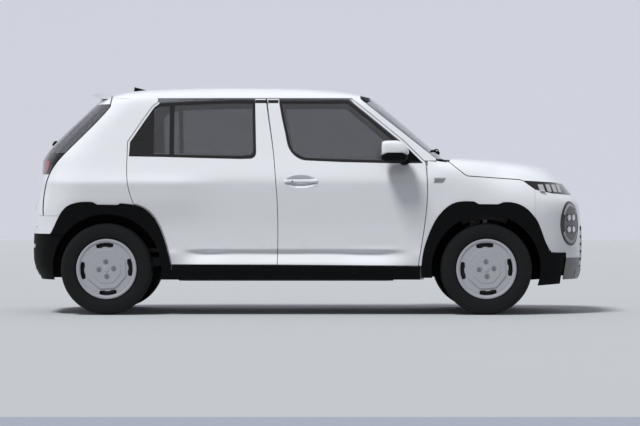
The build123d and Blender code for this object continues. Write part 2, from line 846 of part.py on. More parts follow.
with BuildPart() as rear_axle:
    with BuildSketch(Plane.XZ.offset(-540)):
        with Locations((rear_axle_x + 150, axle_z + 20)):
            Circle(42)
    extrude(amount=1080)
    for side in (-1, 1):
        with BuildSketch(Plane.XZ.offset(-side * 552 + 28)):
            with BuildLine():
                Polyline(
                    (rear_axle_x - 50, 270), (rear_axle_x - 50, 350), (-1012 - seat_gap, 390),
                    (-1012 - seat_gap, 330), close=True,
                )
            make_face()
        extrude(amount=-56)
        with BuildSketch(Plane.XZ.offset(-side * 575)):
            with Locations((rear_axle_x, axle_z)):
                Circle(hub_bore_radius - seat_gap)
        extrude(amount=side * -175)
save(rear_axle.part, "rear_axle")

# ---------------------------------------------------------------- wheels
with BuildPart() as tyre:
    with BuildSketch(Plane.XY) as section:
        with BuildLine():
            Polyline(
                (rim_radius, 62), (rim_radius + 10, 78), (250, tyre_width / 2), (282, tyre_width / 2 - 2.5),
                (tyre_radius - 8, 76), (tyre_radius, 60), (tyre_radius, -60), (tyre_radius - 8, -76),
                (282, 2.5 - tyre_width / 2), (250, -tyre_width / 2), (rim_radius + 10, -78),
                (rim_radius, -62), close=True,
            )
        make_face()
    revolve(axis=Axis.Y)
tyre_blank = tyre.part

with BuildPart() as rim:
    with BuildSketch(Plane.XY):
        with BuildLine():
            Polyline(
                (rim_radius - seat_gap, 62), (rim_radius - seat_gap, -62), (rim_radius + 2, -rim_width / 2),
                (188, -rim_width / 2),
                (188, 44), (182, 60), (150, 66), (60, 70), (60, 40), (hub_bore_radius, 40),
                (hub_bore_radius, 84), (75, 84), (150, 80), (190, 72), (rim_radius + 2, rim_width / 2),
                close=True,
            )
        make_face()
    revolve(axis=Axis.Y)
rim_blank = rim.part
for axle, axle_x in (("front", front_axle_x), ("rear", rear_axle_x)):
    for name, side in (("right", -1), ("left", 1)):
        spot = Location((axle_x, side * track / 2, axle_z), (0, 0, 180 if side < 0 else 0))
        save(spot * tyre_blank, f"tyre_{axle}_{name}")
        save(spot * rim_blank, f"wheel_{axle}_{name}")

with BuildPart() as knuckle:
    with BuildSketch(Plane.XZ.offset(540)):
        with Locations((front_axle_x, axle_z)):
            Circle(55)
    extrude(amount=45)
    with BuildSketch(Plane.XZ.offset(585)):
        with Locations((front_axle_x, axle_z)):
            Circle(hub_bore_radius - seat_gap)
    extrude(amount=165)
    with Locations((front_axle_x, -kingpin_y, 250.3)):
        Cylinder(20, 60, align=(Align.CENTER, Align.CENTER, Align.MIN))
    with BuildSketch(Plane.XY.offset(350)):
        with Locations((front_axle_x, -562)):
            Circle(30)
    extrude(amount=strut_top_z - seat_gap - 350)
knuckle_right = knuckle.part
save(knuckle_right, "knuckle_right")
save(other_side(knuckle_right), "knuckle_left")

# ---------------------------------------------------------------- cowl, mirrors, spoiler, antenna
cowl = plan(
    [[(868, -735), (951, 0), (868, 735)], [(945, 735), (1027, 0), (945, -735)]], 1030, 1052
)
for side in (-1, 1):
    middle_y = side * hinge_place[1]
    cowl -= brick((925, 1030), (middle_y - 14, middle_y + 14), (1020, 1060))
    cowl += drum((hinge_place[0], hinge_place[2]), 4, middle_y - 22, middle_y + 22)
for side_wall_cut in (wing_wall(-120, 26.3), cabin_wall(-120, 60.3)):
    cowl = cowl - side_wall_cut - other_side(side_wall_cut)
save(cowl, "cowl_panel")

with BuildPart() as mirror_pod:
    with BuildSketch(Plane.XZ.offset(800)):
        with BuildLine():
            Polyline(
                (486, 1040), (486, 1164), (508, 1181), (604, 1183), (650, 1168), (684, 1116), (684, 1056),
                (660, 1034), (510, 1030), close=True,
            )
        make_face()
    extrude(amount=152)
    fillet(mirror_pod.faces().filter_by(Axis.Y).edges(), 14)
    with Locations((650, -800, 1038)):
        Box(64, 110, 52)
mirror_piece = mirror_pod.part - cabin_wall(-seat_gap, 200)
save(mirror_piece, "mirror_right")
save(other_side(mirror_piece), "mirror_left")

spoiler = tile(
    [(-1352, 1475.3), (-1352, 1509), (-1443, 1513), (-1488, 1502), (-1440, 1475.3)], deep=500, both=True
)
save(spoiler, "rear_spoiler")
antenna = tile([(-1224, 1575), (-1232, 1530), (-1106, 1538), (-1106, 1543)], deep=9, both=True)
antenna -= top_shell(spread(-1300, -1050, 4), 1250, spread(80, 100, 5), -0.8, 60)
save(antenna, "roof_antenna")

# ---------------------------------------------------------------- cabin
with BuildPart() as seat:
    with Locations((120, -360, 520)):
        Box(500, 480, 140)
    with BuildSketch(Plane.XZ.offset(130)):
        with BuildLine():
            Polyline((-120, 560), (-20, 560), (-130, 1080), (-200, 1080), close=True)
        make_face()
    extrude(amount=460)
    with Locations((-180, -360, 1145.3)):
        Box(80, 250, 130)
    with Locations((120, -360, floor_z + seat_gap)):
        Box(420, 360, 452 - floor_z - seat_gap, align=(Align.CENTER, Align.CENTER, Align.MIN))
front_seat = seat.part
with BuildPart() as bench:
    with Locations((-860, 0, 520)):
        Box(460, 1060, 140)
    with BuildSketch(Plane.XZ.offset(-530)):
        with BuildLine():
            Polyline((-1150, 590), (-1040, 590), (-1180, 1080), (-1250, 1080), close=True)
        make_face()
    extrude(amount=1060)
    with Locations((-820, 0, floor_z + seat_gap)):
        Box(310, 900, 452 - floor_z - seat_gap, align=(Align.CENTER, Align.CENTER, Align.MIN))
    with Locations((-1090, 0, 620)):
        Box(100, 1060, 70)
save(grouped(front_seat, other_side(front_seat), bench.part), "seats")

with BuildPart() as dash:
    with BuildSketch(Plane.XZ.offset(-640)):
        with BuildLine():
            Polyline((814.7, 700), (580, 700), (530, 800), (548, 930), (650, 985), (814.7, 1010), close=True)
        make_face()
    extrude(amount=1280)
with BuildPart() as steering:
    Torus(172, 15)
    with Locations((0, 0, -12)):
        Cylinder(48, 40)
    with Locations((0, 0, -5)):
        Box(330, 34, 14)
    with Locations((0, 0, -70)):
        Cylinder(16, 90)
steering_spot = Location((478, 360, 900), (0, -64, 0))
save(steering_spot * steering.part, "steering_wheel")

with BuildPart() as column_bore:
    with Locations(steering_spot * Location((0, 0, -85))):
        Cylinder(16 + seat_gap, 120)
dash_piece = dash.part - cabin_wall(-100, 112) - other_side(cabin_wall(-100, 112)) - column_bore.part
save(dash_piece, "dashboard")
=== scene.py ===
"""Dressing of the electric city car: finishes, glazing, trim, lamps, wheels, cabin and stage.

Metres, +X forward, +Y to the car's left, +Z up. Places come from the frame's own nodes: trim is drawn in
millimetres on a flat outline and laid on the panel behind it.
"""

import json
from math import copysign, cos, exp, pi, radians, sin

import bmesh
import bpy
from mathutils import Matrix, Vector
from mathutils.bvhtree import BVHTree


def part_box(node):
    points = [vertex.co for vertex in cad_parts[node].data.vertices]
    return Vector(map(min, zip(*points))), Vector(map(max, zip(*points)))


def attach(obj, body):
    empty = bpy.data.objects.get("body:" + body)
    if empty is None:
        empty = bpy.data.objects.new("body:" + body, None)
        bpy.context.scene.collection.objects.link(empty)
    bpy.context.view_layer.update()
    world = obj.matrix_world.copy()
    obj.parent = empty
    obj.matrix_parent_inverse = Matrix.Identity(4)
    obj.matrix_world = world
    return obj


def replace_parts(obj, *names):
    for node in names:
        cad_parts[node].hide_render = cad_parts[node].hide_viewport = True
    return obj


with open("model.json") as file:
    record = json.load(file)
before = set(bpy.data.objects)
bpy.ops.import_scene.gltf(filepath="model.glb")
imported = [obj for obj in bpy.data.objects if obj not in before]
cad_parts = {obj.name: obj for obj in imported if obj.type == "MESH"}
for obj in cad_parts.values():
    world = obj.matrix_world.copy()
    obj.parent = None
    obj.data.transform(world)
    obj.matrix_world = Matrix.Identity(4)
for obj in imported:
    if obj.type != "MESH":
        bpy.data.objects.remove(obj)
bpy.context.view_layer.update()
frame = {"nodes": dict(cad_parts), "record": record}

MM = 0.001
SIDES = (("right", -1), ("left", 1))
FRONT_AXLE_X, REAR_AXLE_X, AXLE_Z, TRACK_HALF = 1.2125, -1.3675, 0.311, 0.705
GRAIN_DEPTH = 0.0006
SHARP = 32  # degrees between two faces that still shade as one


# ------------------------------ finishes
def new_material(name):
    mat = bpy.data.materials.new(name)
    mat.use_nodes = True
    return mat, mat.node_tree.nodes, mat.node_tree.links, mat.node_tree.nodes["Principled BSDF"]


def add_node(nodes, kind, **values):
    """Shader node with some of its inputs set."""
    node = nodes.new(f"ShaderNode{kind}")
    for socket, value in values.items():
        node.inputs[socket.replace("_", " ")].default_value = value
    return node


def add_mix(nodes, low, high=None):
    """Mix of two colours; a colour left out is linked in later."""
    mix = nodes.new("ShaderNodeMix")
    mix.data_type = "RGBA"
    mix.inputs["A"].default_value = (*low, 1)
    if high:
        mix.inputs["B"].default_value = (*high, 1)
    return mix


def add_relief(nodes, links, shader, height, strength):
    relief = add_node(nodes, "Bump", Strength=strength, Distance=GRAIN_DEPTH)
    links.new(height, relief.inputs["Height"])
    links.new(relief.outputs["Normal"], shader.inputs["Normal"])


def noise(nodes, links, scale, detail):
    """Noise laid on the object in metres."""
    place = nodes.new("ShaderNodeTexCoord")
    texture = add_node(nodes, "TexNoise", Scale=scale, Detail=detail)
    links.new(place.outputs["Object"], texture.inputs["Vector"])
    return texture.outputs["Fac"]


def add_math(nodes, links, operation, *values):
    """Arithmetic on linked outputs and plain numbers."""
    node = nodes.new("ShaderNodeMath")
    node.operation = operation
    for socket, value in zip(node.inputs, values):
        if isinstance(value, float):
            socket.default_value = value
        else:
            links.new(value, socket)
    return node.outputs["Value"]


def toned(colour, share):
    """Colour made darker or lighter."""
    return tuple(min(1, c * share) for c in colour)


def finish(name, colour, roughness, grain, bump, tone, patch, **sockets):
    """Surface with a fine grain in its relief and slow variation in its colour and gloss.

    grain and patch are noise scales, bump the grain's strength, tone how much the colour varies and the
    sockets further shader inputs by name."""
    mat, nodes, links, shader = new_material(name)
    mix = add_mix(nodes, toned(colour, 1 - tone), toned(colour, 1 + tone))
    links.new(noise(nodes, links, patch, 2.0), mix.inputs["Factor"])
    links.new(mix.outputs["Result"], shader.inputs["Base Color"])
    spread = min(0.06, roughness * 0.3)
    remap = add_node(nodes, "MapRange", To_Min=roughness - spread, To_Max=roughness + spread)
    links.new(noise(nodes, links, patch * 7, 4.0), remap.inputs["Value"])
    links.new(remap.outputs["Result"], shader.inputs["Roughness"])
    if bump:
        add_relief(nodes, links, shader, noise(nodes, links, grain, 2.0), bump)
    for socket, value in sockets.items():
        shader.inputs[socket.replace("_", " ")].default_value = value
    return mat


def weave(name, colour, thread):
    """Woven cloth: crossing threads in relief, lighter on the crowns."""
    mat, nodes, links, shader = new_material(name)
    place = nodes.new("ShaderNodeTexCoord")
    total = None
    for direction in ("X", "Y", "Z"):
        wave = add_node(nodes, "TexWave", Scale=thread / 20, Distortion=1.2, Detail_Scale=2.0)
        wave.bands_direction = direction
        links.new(place.outputs["Object"], wave.inputs["Vector"])
        strand = wave.outputs["Fac"]
        total = add_math(nodes, links, "MULTIPLY_ADD", strand, 0.5, total) if total else strand
    ramp = nodes.new("ShaderNodeValToRGB")
    for end, share in ((0, 0.6), (1, 1.5)):
        ramp.color_ramp.elements[end].color = (*toned(colour, share), 1)
    links.new(total, ramp.inputs["Fac"])
    links.new(ramp.outputs["Color"], shader.inputs["Base Color"])
    add_relief(nodes, links, shader, total, 0.4)
    shader.inputs["Roughness"].default_value = 0.9
    shader.inputs["Sheen Weight"].default_value = 0.25
    return mat


PAINT = finish("paint_white", (0.775, 0.80, 0.835), 0.2, 900, 0.015, 0.01, 1.5, Coat_Weight=1.0,
               Coat_Roughness=0.03)
GRAINED = finish("plastic_black_grained", (0.003, 0.0032, 0.0036), 0.7, 1400, 0.3, 0.2, 6.0,
                 Specular_IOR_Level=0.14)
GLOSS_BLACK = finish("gloss_black", (0.006, 0.006, 0.007), 0.14, 500, 0.01, 0.1, 3.0, Coat_Weight=0.5)
GREY = finish("plastic_grey_satin", (0.20, 0.205, 0.215), 0.38, 1200, 0.1, 0.08, 4.0)
RUBBER = finish("rubber", (0.017, 0.017, 0.018), 0.72, 900, 0.3, 0.25, 9.0)
TYRE = finish("tyre_rubber", (0.008, 0.009, 0.010), 0.7, 1500, 0.3, 0.2, 5.0, Specular_IOR_Level=0.3)
SILVER = finish("wheel_silver", (0.45, 0.465, 0.50), 0.3, 1500, 0.05, 0.03, 8.0, Metallic=0.35,
                Coat_Weight=0.6)
STEEL = finish("steel_dark", (0.25, 0.25, 0.26), 0.42, 700, 0.15, 0.15, 12.0, Metallic=0.9)
BRIGHT = finish("bright_metal", (0.75, 0.76, 0.78), 0.16, 900, 0.02, 0.03, 5.0, Metallic=1.0)
CHASSIS = finish("chassis_black", (0.025, 0.025, 0.027), 0.5, 600, 0.25, 0.3, 7.0)
ALLOY = finish("cast_alloy", (0.38, 0.39, 0.40), 0.5, 500, 0.45, 0.12, 9.0, Metallic=0.85)
CASE = finish("battery_case", (0.20, 0.21, 0.23), 0.45, 600, 0.2, 0.15, 6.0, Metallic=0.7)
DASH = finish("dash_plastic", (0.045, 0.047, 0.052), 0.62, 1100, 0.4, 0.12, 5.0)
DASH_PALE = finish("dash_pale", (0.32, 0.33, 0.35), 0.6, 1100, 0.3, 0.06, 5.0)
CARPET = finish("carpet", (0.030, 0.030, 0.033), 0.95, 350, 0.9, 0.35, 30.0)
CLOTH = weave("seat_cloth", (0.115, 0.12, 0.135), 700)
CLOTH_PALE = weave("seat_cloth_pale", (0.24, 0.25, 0.27), 500)
PIXEL = finish("lamp_white", (0.42, 0.43, 0.45), 0.25, 600, 0.02, 0.01, 4.0)
RED_LENS = finish("lens_red", (0.22, 0.004, 0.010), 0.16, 500, 0.05, 0.08, 8.0, Coat_Weight=1.0)
GLASS = finish("glass_tinted", (0.36, 0.365, 0.38), 0.03, 300, 0.0, 0.03, 2.0, Transmission_Weight=0.88,
               IOR=1.45, Specular_IOR_Level=0.3)
SCREEN = finish("screen_dark", (0.012, 0.013, 0.016), 0.12, 600, 0.0, 0.05, 2.0, Coat_Weight=1.0)

CAD_FINISH = {
    "body_paint": PAINT, "black_plastic": GRAINED, "grey_plastic": GREY, "black_gloss": GLOSS_BLACK,
    "dark_glass": GLASS, "lamp_glass": GLOSS_BLACK, "tyre": TYRE, "wheel_silver": SILVER,
    "chassis": CHASSIS, "battery_case": CASE, "cast_alloy": ALLOY, "steel": STEEL, "seat_fabric": CLOTH,
    "dash_plastic": DASH,
}
# a finish with the record's slot that it goes with
TRIM, GLOSS, BODY = (GRAINED, "black_plastic"), (GLOSS_BLACK, "black_gloss"), (PAINT, "body_paint")
CABIN, PALE, COVER = (DASH, "dash_plastic"), (DASH_PALE, "dash_plastic"), (SILVER, "wheel_silver")
SEAL, IRON, KNOB = (RUBBER, "black_plastic"), (STEEL, "wheel_silver"), (GREY, "dash_plastic")
RIB, FLEECE, FRAME = (GREY, "grey_plastic"), (CARPET, "dash_plastic"), (GLOSS_BLACK, "dash_plastic")
BEZEL = (GLOSS_BLACK, "lamp_glass")
for part in frame["record"]["subparts"]:
    node = frame["nodes"][part["node"]]
    node.data.materials.clear()
    node.data.materials.append(CAD_FINISH[part["material_slot"]])


# ------------------------------ building pieces
def linked(name, data):
    obj = bpy.data.objects.new(name, data)
    bpy.context.scene.collection.objects.link(obj)
    return obj


def dress(obj, body, mat, sharp=SHARP):
    """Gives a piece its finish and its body."""
    obj.data.materials.clear()
    obj.data.materials.append(mat)
    for face in obj.data.polygons:
        face.use_smooth = True
    obj.data.set_sharp_from_angle(angle=radians(sharp))
    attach(obj, body)
    return obj


def piece(name, verts, faces, body, mat, sharp=SHARP):
    """Closed mesh with its doubled points merged and its faces turned outwards."""
    mesh = bpy.data.meshes.new(name)
    mesh.from_pydata([tuple(v) for v in verts], [], faces)
    mesh.validate()
    obj = linked(name, mesh)
    work = bmesh.new()
    work.from_mesh(mesh)
    bmesh.ops.remove_doubles(work, verts=work.verts, dist=1e-6)
    bmesh.ops.recalc_face_normals(work, faces=work.faces)
    work.to_mesh(mesh)
    work.free()
    return dress(obj, body, mat, sharp)


def ladder(rings, size, closed=False, span=None):
    """Faces between neighbouring rings of one size; closed joins the last ring to the first."""
    faces = []
    for i in range(rings if closed else rings - 1):
        here, there = i * size, (i + 1) % rings * size
        for k in range(span or size):
            after = (k + 1) % size
            faces.append([here + k, here + after, there + after, there + k])
    return faces


def tube(name, rings, body, mat, sharp=SHARP):
    """Skin over rings of points, with both ends closed."""
    count, size = len(rings), len(rings[0])
    faces = ladder(count, size) + [list(range(size)), list(range((count - 1) * size, count * size))]
    return piece(name, [point for ring in rings for point in ring], faces, body, mat, sharp)


def merged(meshes):
    """Points and faces of several meshes, as one list each."""
    verts, faces = [], []
    for mesh in meshes:
        base = len(verts)
        verts += [v.co.copy() for v in mesh.vertices]
        faces += [[base + i for i in face.vertices] for face in mesh.polygons]
    return verts, faces


def surface(*names):
    """Ray target made of CAD nodes."""
    return BVHTree.FromPolygons(*merged(frame["nodes"][name].data for name in names))


# drawing planes: a function from two coordinates, in metres, to a point off the car, and the line of sight
VIEWS = {
    "right": (lambda a, b: Vector((a, -1.3, b)), Vector((0, 1, 0))),
    "left": (lambda a, b: Vector((a, 1.3, b)), Vector((0, -1, 0))),
    "front": (lambda a, b: Vector((2.4, a, b)), Vector((-1, 0, 0))),
    "rear": (lambda a, b: Vector((-2.4, a, b)), Vector((1, 0, 0))),
    "top": (lambda a, b: Vector((a, b, 2.0)), Vector((0, 0, -1))),
}
REACH = {"right": 0.52, "left": 0.52}  # about how far the car's skin lies from a drawing plane
OTHER_REACH = 0.6
BACK_OFF = 0.4  # from the middle of a slanted drawing plane to where its rays start


def add_view(name, middle, up, look, across=(0, 1, 0)):
    """A slanted drawing plane: its first coordinate runs across, the second runs up it."""
    middle, up, look = Vector(middle), Vector(up).normalized(), Vector(look).normalized()
    VIEWS[name] = (lambda a, b: middle - look * BACK_OFF + Vector(across) * a + up * b, look)


def hit(target, view, a, b):
    """Point and outward normal of a surface under a drawn point; beside it, those of its nearest part."""
    start, sight = VIEWS[view][0](a, b), VIEWS[view][1]
    place, normal, _, _ = target.ray_cast(start, sight)
    if place is None:
        place, normal, _, _ = target.find_nearest(start + sight * REACH.get(view, OTHER_REACH))
        place = start + sight * (place - start).dot(sight)
    if normal.dot(sight) > 0:
        normal = -normal
    return place, normal


def laid_path(target, view, start, end, steps, rise):
    """Path over a surface between two drawn points, in mm; rise(t) is its height a share t along it."""
    path = []
    for i in range(steps + 1):
        t = i / steps
        a, b = (s + (e - s) * t for s, e in zip(start, end))
        place, normal = hit(target, view, a * MM, b * MM)
        path.append(place + normal * rise(t) * MM)
    return path


def smooth_run(points, count):
    """Catmull-Rom curve through points."""
    out = []
    ends = [2 * Vector(points[0]) - Vector(points[1])] + [Vector(p) for p in points]
    ends.append(2 * Vector(points[-1]) - Vector(points[-2]))
    for p0, p1, p2, p3 in zip(ends, ends[1:], ends[2:], ends[3:]):
        for i in range(count):
            t = i / count
            out.append(0.5 * (2 * p1 + (p2 - p0) * t + (2 * p0 - 5 * p1 + 4 * p2 - p3) * t**2
                              + (3 * p1 - p0 - 3 * p2 + p3) * t**3))
    return out + [Vector(points[-1])]


def rounded(points, radius, steps=4):
    """Closed outline with its corners rounded."""
    out = []
    count = len(points)
    for i, corner in enumerate(points):
        corner = Vector(corner)
        before, after = Vector(points[i - 1]) - corner, Vector(points[(i + 1) % count]) - corner
        reach = min(radius, before.length * 0.45, after.length * 0.45)
        start, end = corner + before.normalized() * reach, corner + after.normalized() * reach
        for k in range(steps + 1):
            t = k / steps
            out.append(tuple(start * (1 - t) ** 2 + corner * 2 * t * (1 - t) + end * t * t))
    return out


def box(a, b, half_a, half_b, radius):
    """Rounded box about a middle."""
    corners = ((-1, -1), (1, -1), (1, 1), (-1, 1))
    return rounded([(a + i * half_a, b + j * half_b) for i, j in corners], radius)


def ellipse(a, b, half_a, half_b, count, start=0.0):
    """Points round an ellipse, the first at an angle in radians."""
    turns = [start + 2 * pi * i / count for i in range(count)]
    return [(a + half_a * cos(t), b + half_b * sin(t)) for t in turns]


def arc_band(out_a, out_b, in_a, in_b, start, stop, steps):
    """Outline of a curved band between two ellipses, from one angle in degrees to another."""
    turns = [radians(start + (stop - start) * i / steps) for i in range(steps + 1)]
    band = [(out_a * cos(t), out_b * sin(t)) for t in turns]
    return band + [(in_a * cos(t), in_b * sin(t)) for t in reversed(turns)]


def inlay(name, outline, target, view, body, mat, slot, thick, lift=0.0, step=30, holes=(), crown=0.0):
    """Plate laid on a surface. The outline is in mm; lift and thick are measured along the normal, in mm.

    A crown raises the plate's middle over its rim."""
    flat = bmesh.new()
    for loop in (outline, *holes):
        ring = [flat.verts.new((p[0] * MM, p[1] * MM, 0)) for p in loop]
        for a, b in zip(ring, ring[1:] + ring[:1]):
            flat.edges.new((a, b))
    bmesh.ops.triangle_fill(flat, edges=flat.edges[:], use_beauty=True)
    for axis, normal in enumerate((Vector((1, 0, 0)), Vector((0, 1, 0)))):
        spots = [v.co[axis] for v in flat.verts]
        low, high = min(spots), max(spots)
        cuts = int((high - low) / (step * MM))
        for i in range(1, cuts + 1):
            bmesh.ops.bisect_plane(
                flat, geom=flat.verts[:] + flat.edges[:] + flat.faces[:], dist=1e-6,
                plane_co=normal * (low + i * (high - low) / (cuts + 1)), plane_no=normal,
            )
    flat.verts.ensure_lookup_table()
    flat.verts.index_update()
    rim = {v.index for e in flat.edges if e.is_boundary for v in e.verts}
    top, bottom = [], []
    for v in flat.verts:
        place, normal = hit(target, view, v.co.x, v.co.y)
        extra = crown if v.index not in rim else 0.0
        top.append(place + normal * (lift + thick + extra) * MM)
        bottom.append(place + normal * lift * MM)
    base = len(top)
    faces = []
    for face in flat.faces:
        ids = [v.index for v in face.verts]
        faces += [ids, [base + i for i in reversed(ids)]]
    for edge in flat.edges:
        if edge.is_boundary:
            a, b = (v.index for v in edge.verts)
            faces.append([a, b, base + b, base + a])
    flat.free()
    return piece(name, top + bottom, faces, body, mat)


def sweep(name, path, section, body, mat, slot, up=(0, 0, 1)):
    """Section of (across, along up) points, in mm, carried along a path in metres."""
    path = [Vector(p) for p in path]
    rings = []
    for i, place in enumerate(path):
        along = (path[min(i + 1, len(path) - 1)] - path[max(i - 1, 0)]).normalized()
        across = along.cross(Vector(up)).normalized()
        rise = across.cross(along).normalized()
        rings.append([place + across * (a * MM) + rise * (b * MM) for a, b in section])
    return tube(name, rings, body, mat)


def lathe(name, profile, centre, body, mat, slot, axis, count=96, sharp=SHARP):
    """Profile of (radius, distance along the axis), in mm, turned about an axis."""
    turn = Vector((0, 0, 1)).rotation_difference(Vector(axis)).to_matrix()
    verts = []
    for i in range(count):
        angle = 2 * pi * i / count
        for radius, along in profile:
            spot = Vector((radius * cos(angle), radius * sin(angle), along)) * MM
            verts.append(Vector(centre) + turn @ spot)
    faces = ladder(count, len(profile), True, len(profile) - 1)
    return piece(name, verts, faces, body, mat, sharp)


def extruded(name, outline, low, high, place, body, mat, slot, holes=(), bevel=0.8):
    """Bevelled plate with holes, standing square to Y: outline in mm as (x, z), between two distances."""
    curve = bpy.data.curves.new(name, "CURVE")
    curve.dimensions = "2D"
    curve.fill_mode = "BOTH"
    curve.extrude = (high - low) / 2 * MM - bevel * MM
    curve.bevel_depth = bevel * MM
    curve.bevel_resolution = 2
    curve.offset = -bevel * MM
    for loop in (outline, *holes):
        spline = curve.splines.new("POLY")
        spline.points.add(len(loop) - 1)
        for point, (a, b) in zip(spline.points, loop):
            point.co = (a * MM, b * MM, 0, 1)
        spline.use_cyclic_u = True
    shape = linked(name, curve)
    mesh = bpy.data.meshes.new_from_object(shape)
    bpy.data.objects.remove(shape)
    obj = linked(name, mesh)
    middle = (low + high) / 2 * MM
    stand = Matrix.Rotation(radians(90), 4, "X")
    mesh.transform(Matrix.Translation(Vector(place) + Vector((0, middle, 0))) @ stand)
    return dress(obj, body, mat)


# ------------------------------ wheels
def tyre(name, node, body, x, sg):
    """Road tyre: four grooves round it, angled sipes and shoulder blocks, and a ribbed side wall."""
    around = 400
    half = [
        (205, 62), (209, 70), (214, 79), (222, 85), (232, 88.5), (240, 90.5), (243, 91.6), (252, 92.4),
        (262, 92.0), (272, 91.0), (276, 91.2), (280, 90.0), (288, 87.5), (295, 84.0), (300.5, 79.5),
        (304.5, 74.5), (307.2, 69), (308.6, 63), (309.5, 57.0), (309.7, 53.5), (302.6, 52.5), (302.6, 45.5),
        (310.0, 44.5), (310.4, 36), (310.6, 28), (310.7, 19.5), (303.2, 18.5), (303.2, 9.5), (310.8, 8.5),
        (311.0, 3),
    ]
    profile = half + [(r, -a) for r, a in reversed(half)]
    verts = []
    for i in range(around):
        angle = 2 * pi * i / around
        for radius, along in profile:
            cut, share, way = 0.0, abs(along), (1 if along > 0 else -1)
            if radius > 306 and share > 55:  # shoulder blocks
                cut = 5.0 if (i + way + 1) % 8 < 2 else 0.0
            elif radius > 309 and 20 < share < 45:  # angled sipes
                cut = 4.5 if (i + way * int((share - 20) / 5)) % 8 == 0 else 0.0
            elif radius > 309 and share < 9:  # middle rib
                cut = 3.5 if i % 16 == 0 else 0.0
            elif 289 < radius < 306:  # ribs round the side wall
                cut = 1.6 if (i + 1) % 8 < 4 else 0.0
            reach = (radius - cut) * MM
            y = sg * (TRACK_HALF + along * MM)
            verts.append((x + reach * cos(angle), y, AXLE_Z + reach * sin(angle)))
    made = piece(name, verts, ladder(around, len(profile), True), body, TYRE, 40)
    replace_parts(made, node)


def slot_outline(angle, radius):
    """Slot in the wheel cover: a bar with blunt ends, its inner edge notched outward in the middle."""
    half = [(0, -10), (14, -10), (21, -16), (50, -16), (58, -11), (58, 10), (40, 16), (0, 17)]
    loop = half + [(-across, out) for across, out in reversed(half[1:-1])]
    turned = [((radius + out) * cos(angle) - across * sin(angle),
               (radius + out) * sin(angle) + across * cos(angle)) for across, out in loop]
    return rounded(turned, 5, 3)


def wheel(name, node, body, x, sg):
    """Steel wheel with a full silver cover: a rim lip, four slots, an octagonal boss and four nuts."""
    centre, out = (x, sg * TRACK_HALF, AXLE_Z), (0, sg, 0)
    rim = [(203, 60), (205.5, 72), (203, 74), (199, 70), (196, 40), (186, 20), (186, -50), (196, -60),
           (205.5, -74), (205.5, -70), (203.6, -60), (190, -45), (190, 15), (200, 45), (203, 60)]
    disc = [(27.3, 40), (27.3, 55), (70, 56), (110, 44), (150, 46), (187, 30), (187, 26), (150, 40),
            (110, 38), (70, 48), (27.3, 40)]
    cover_ring = [(178, 68), (181, 73), (186, 76.5), (192, 78.6), (197, 79.3), (201, 78.6), (204.5, 76),
                  (205.6, 72.5), (204, 70), (198, 70), (186, 66), (178, 66), (178, 68)]
    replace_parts(lathe(f"{name}_rim", rim, centre, body, *IRON, out), node)
    lathe(f"{name}_disc", disc, centre, body, CHASSIS, "wheel_silver", out)
    lathe(f"{name}_cover_ring", cover_ring, centre, body, *COVER, out, 128)
    turn, quarter = radians(4), pi / 2
    cover_radius, slot_radius, boss_radius, nut_radius, middle_share = 180, 160, 143, 50, 0.72
    octagon = ellipse(0, 0, boss_radius, boss_radius, 8, turn + quarter / 4)
    middle = [(a * middle_share, b * middle_share) for a, b in octagon]
    for part, outline, near, far, bevel, holes in (
        ("cover", ellipse(0, 0, cover_radius, cover_radius, 120), 68, 73.5, 1.4,
         [slot_outline(turn + quarter * i, slot_radius) for i in range(4)]),
        ("boss", rounded(octagon, 16), 72, 78.5, 3.0, ()),
        ("boss_middle", rounded(middle, 12), 77, 80.5, 1.6, ()),
    ):
        extruded(f"{name}_{part}", outline, *sorted((sg * near, sg * far)), centre, body, *COVER, holes,
                 bevel)
    nut = [(0, 84.5), (6, 84.5), (7.5, 83.5), (7.5, 81.0), (11.5, 80.2), (16.5, 81.6), (18, 80.2), (18, 78),
           (0, 78)]
    for i, (a, b) in enumerate(ellipse(0, 0, nut_radius, nut_radius, 4, turn)):
        spot = (x + a * MM, sg * TRACK_HALF, AXLE_Z + b * MM)
        lathe(f"{name}_nut_{i}", nut, spot, body, *IRON, out, 24)
    cap = [(0, 83.2), (14, 83.0), (20, 82.2), (22, 80.8), (22, 79), (0, 79)]
    lathe(f"{name}_cap", cap, centre, body, *COVER, out, 40)


for end, axle_x in (("front", FRONT_AXLE_X), ("rear", REAR_AXLE_X)):
    for side, sg in SIDES:
        body = f"wheel_{end}_{side}"
        tyre(f"tyre_tread_{end}_{side}", f"tyre_{end}_{side}", body, axle_x, sg)
        wheel(f"rim_{end}_{side}", f"wheel_{end}_{side}", body, axle_x, sg)


# ------------------------------ windows and side trim
def inset(points, distance):
    """Closed outline moved inwards by a distance, mitred."""
    pts = [Vector(p) for p in points]
    area = sum(a.x * b.y - b.x * a.y for a, b in zip(pts, pts[1:] + pts[:1]))
    way = 1 if area > 0 else -1
    out = []
    for i, here in enumerate(pts):
        before, after = (here - pts[i - 1]).normalized(), (pts[(i + 1) % len(pts)] - here).normalized()
        n0, n1 = Vector((-before.y, before.x)) * way, Vector((-after.y, after.x)) * way
        mean = n0 + n1
        out.append(tuple(here + mean * (distance / max(0.35, 1 + n0.dot(n1)))))
    return out


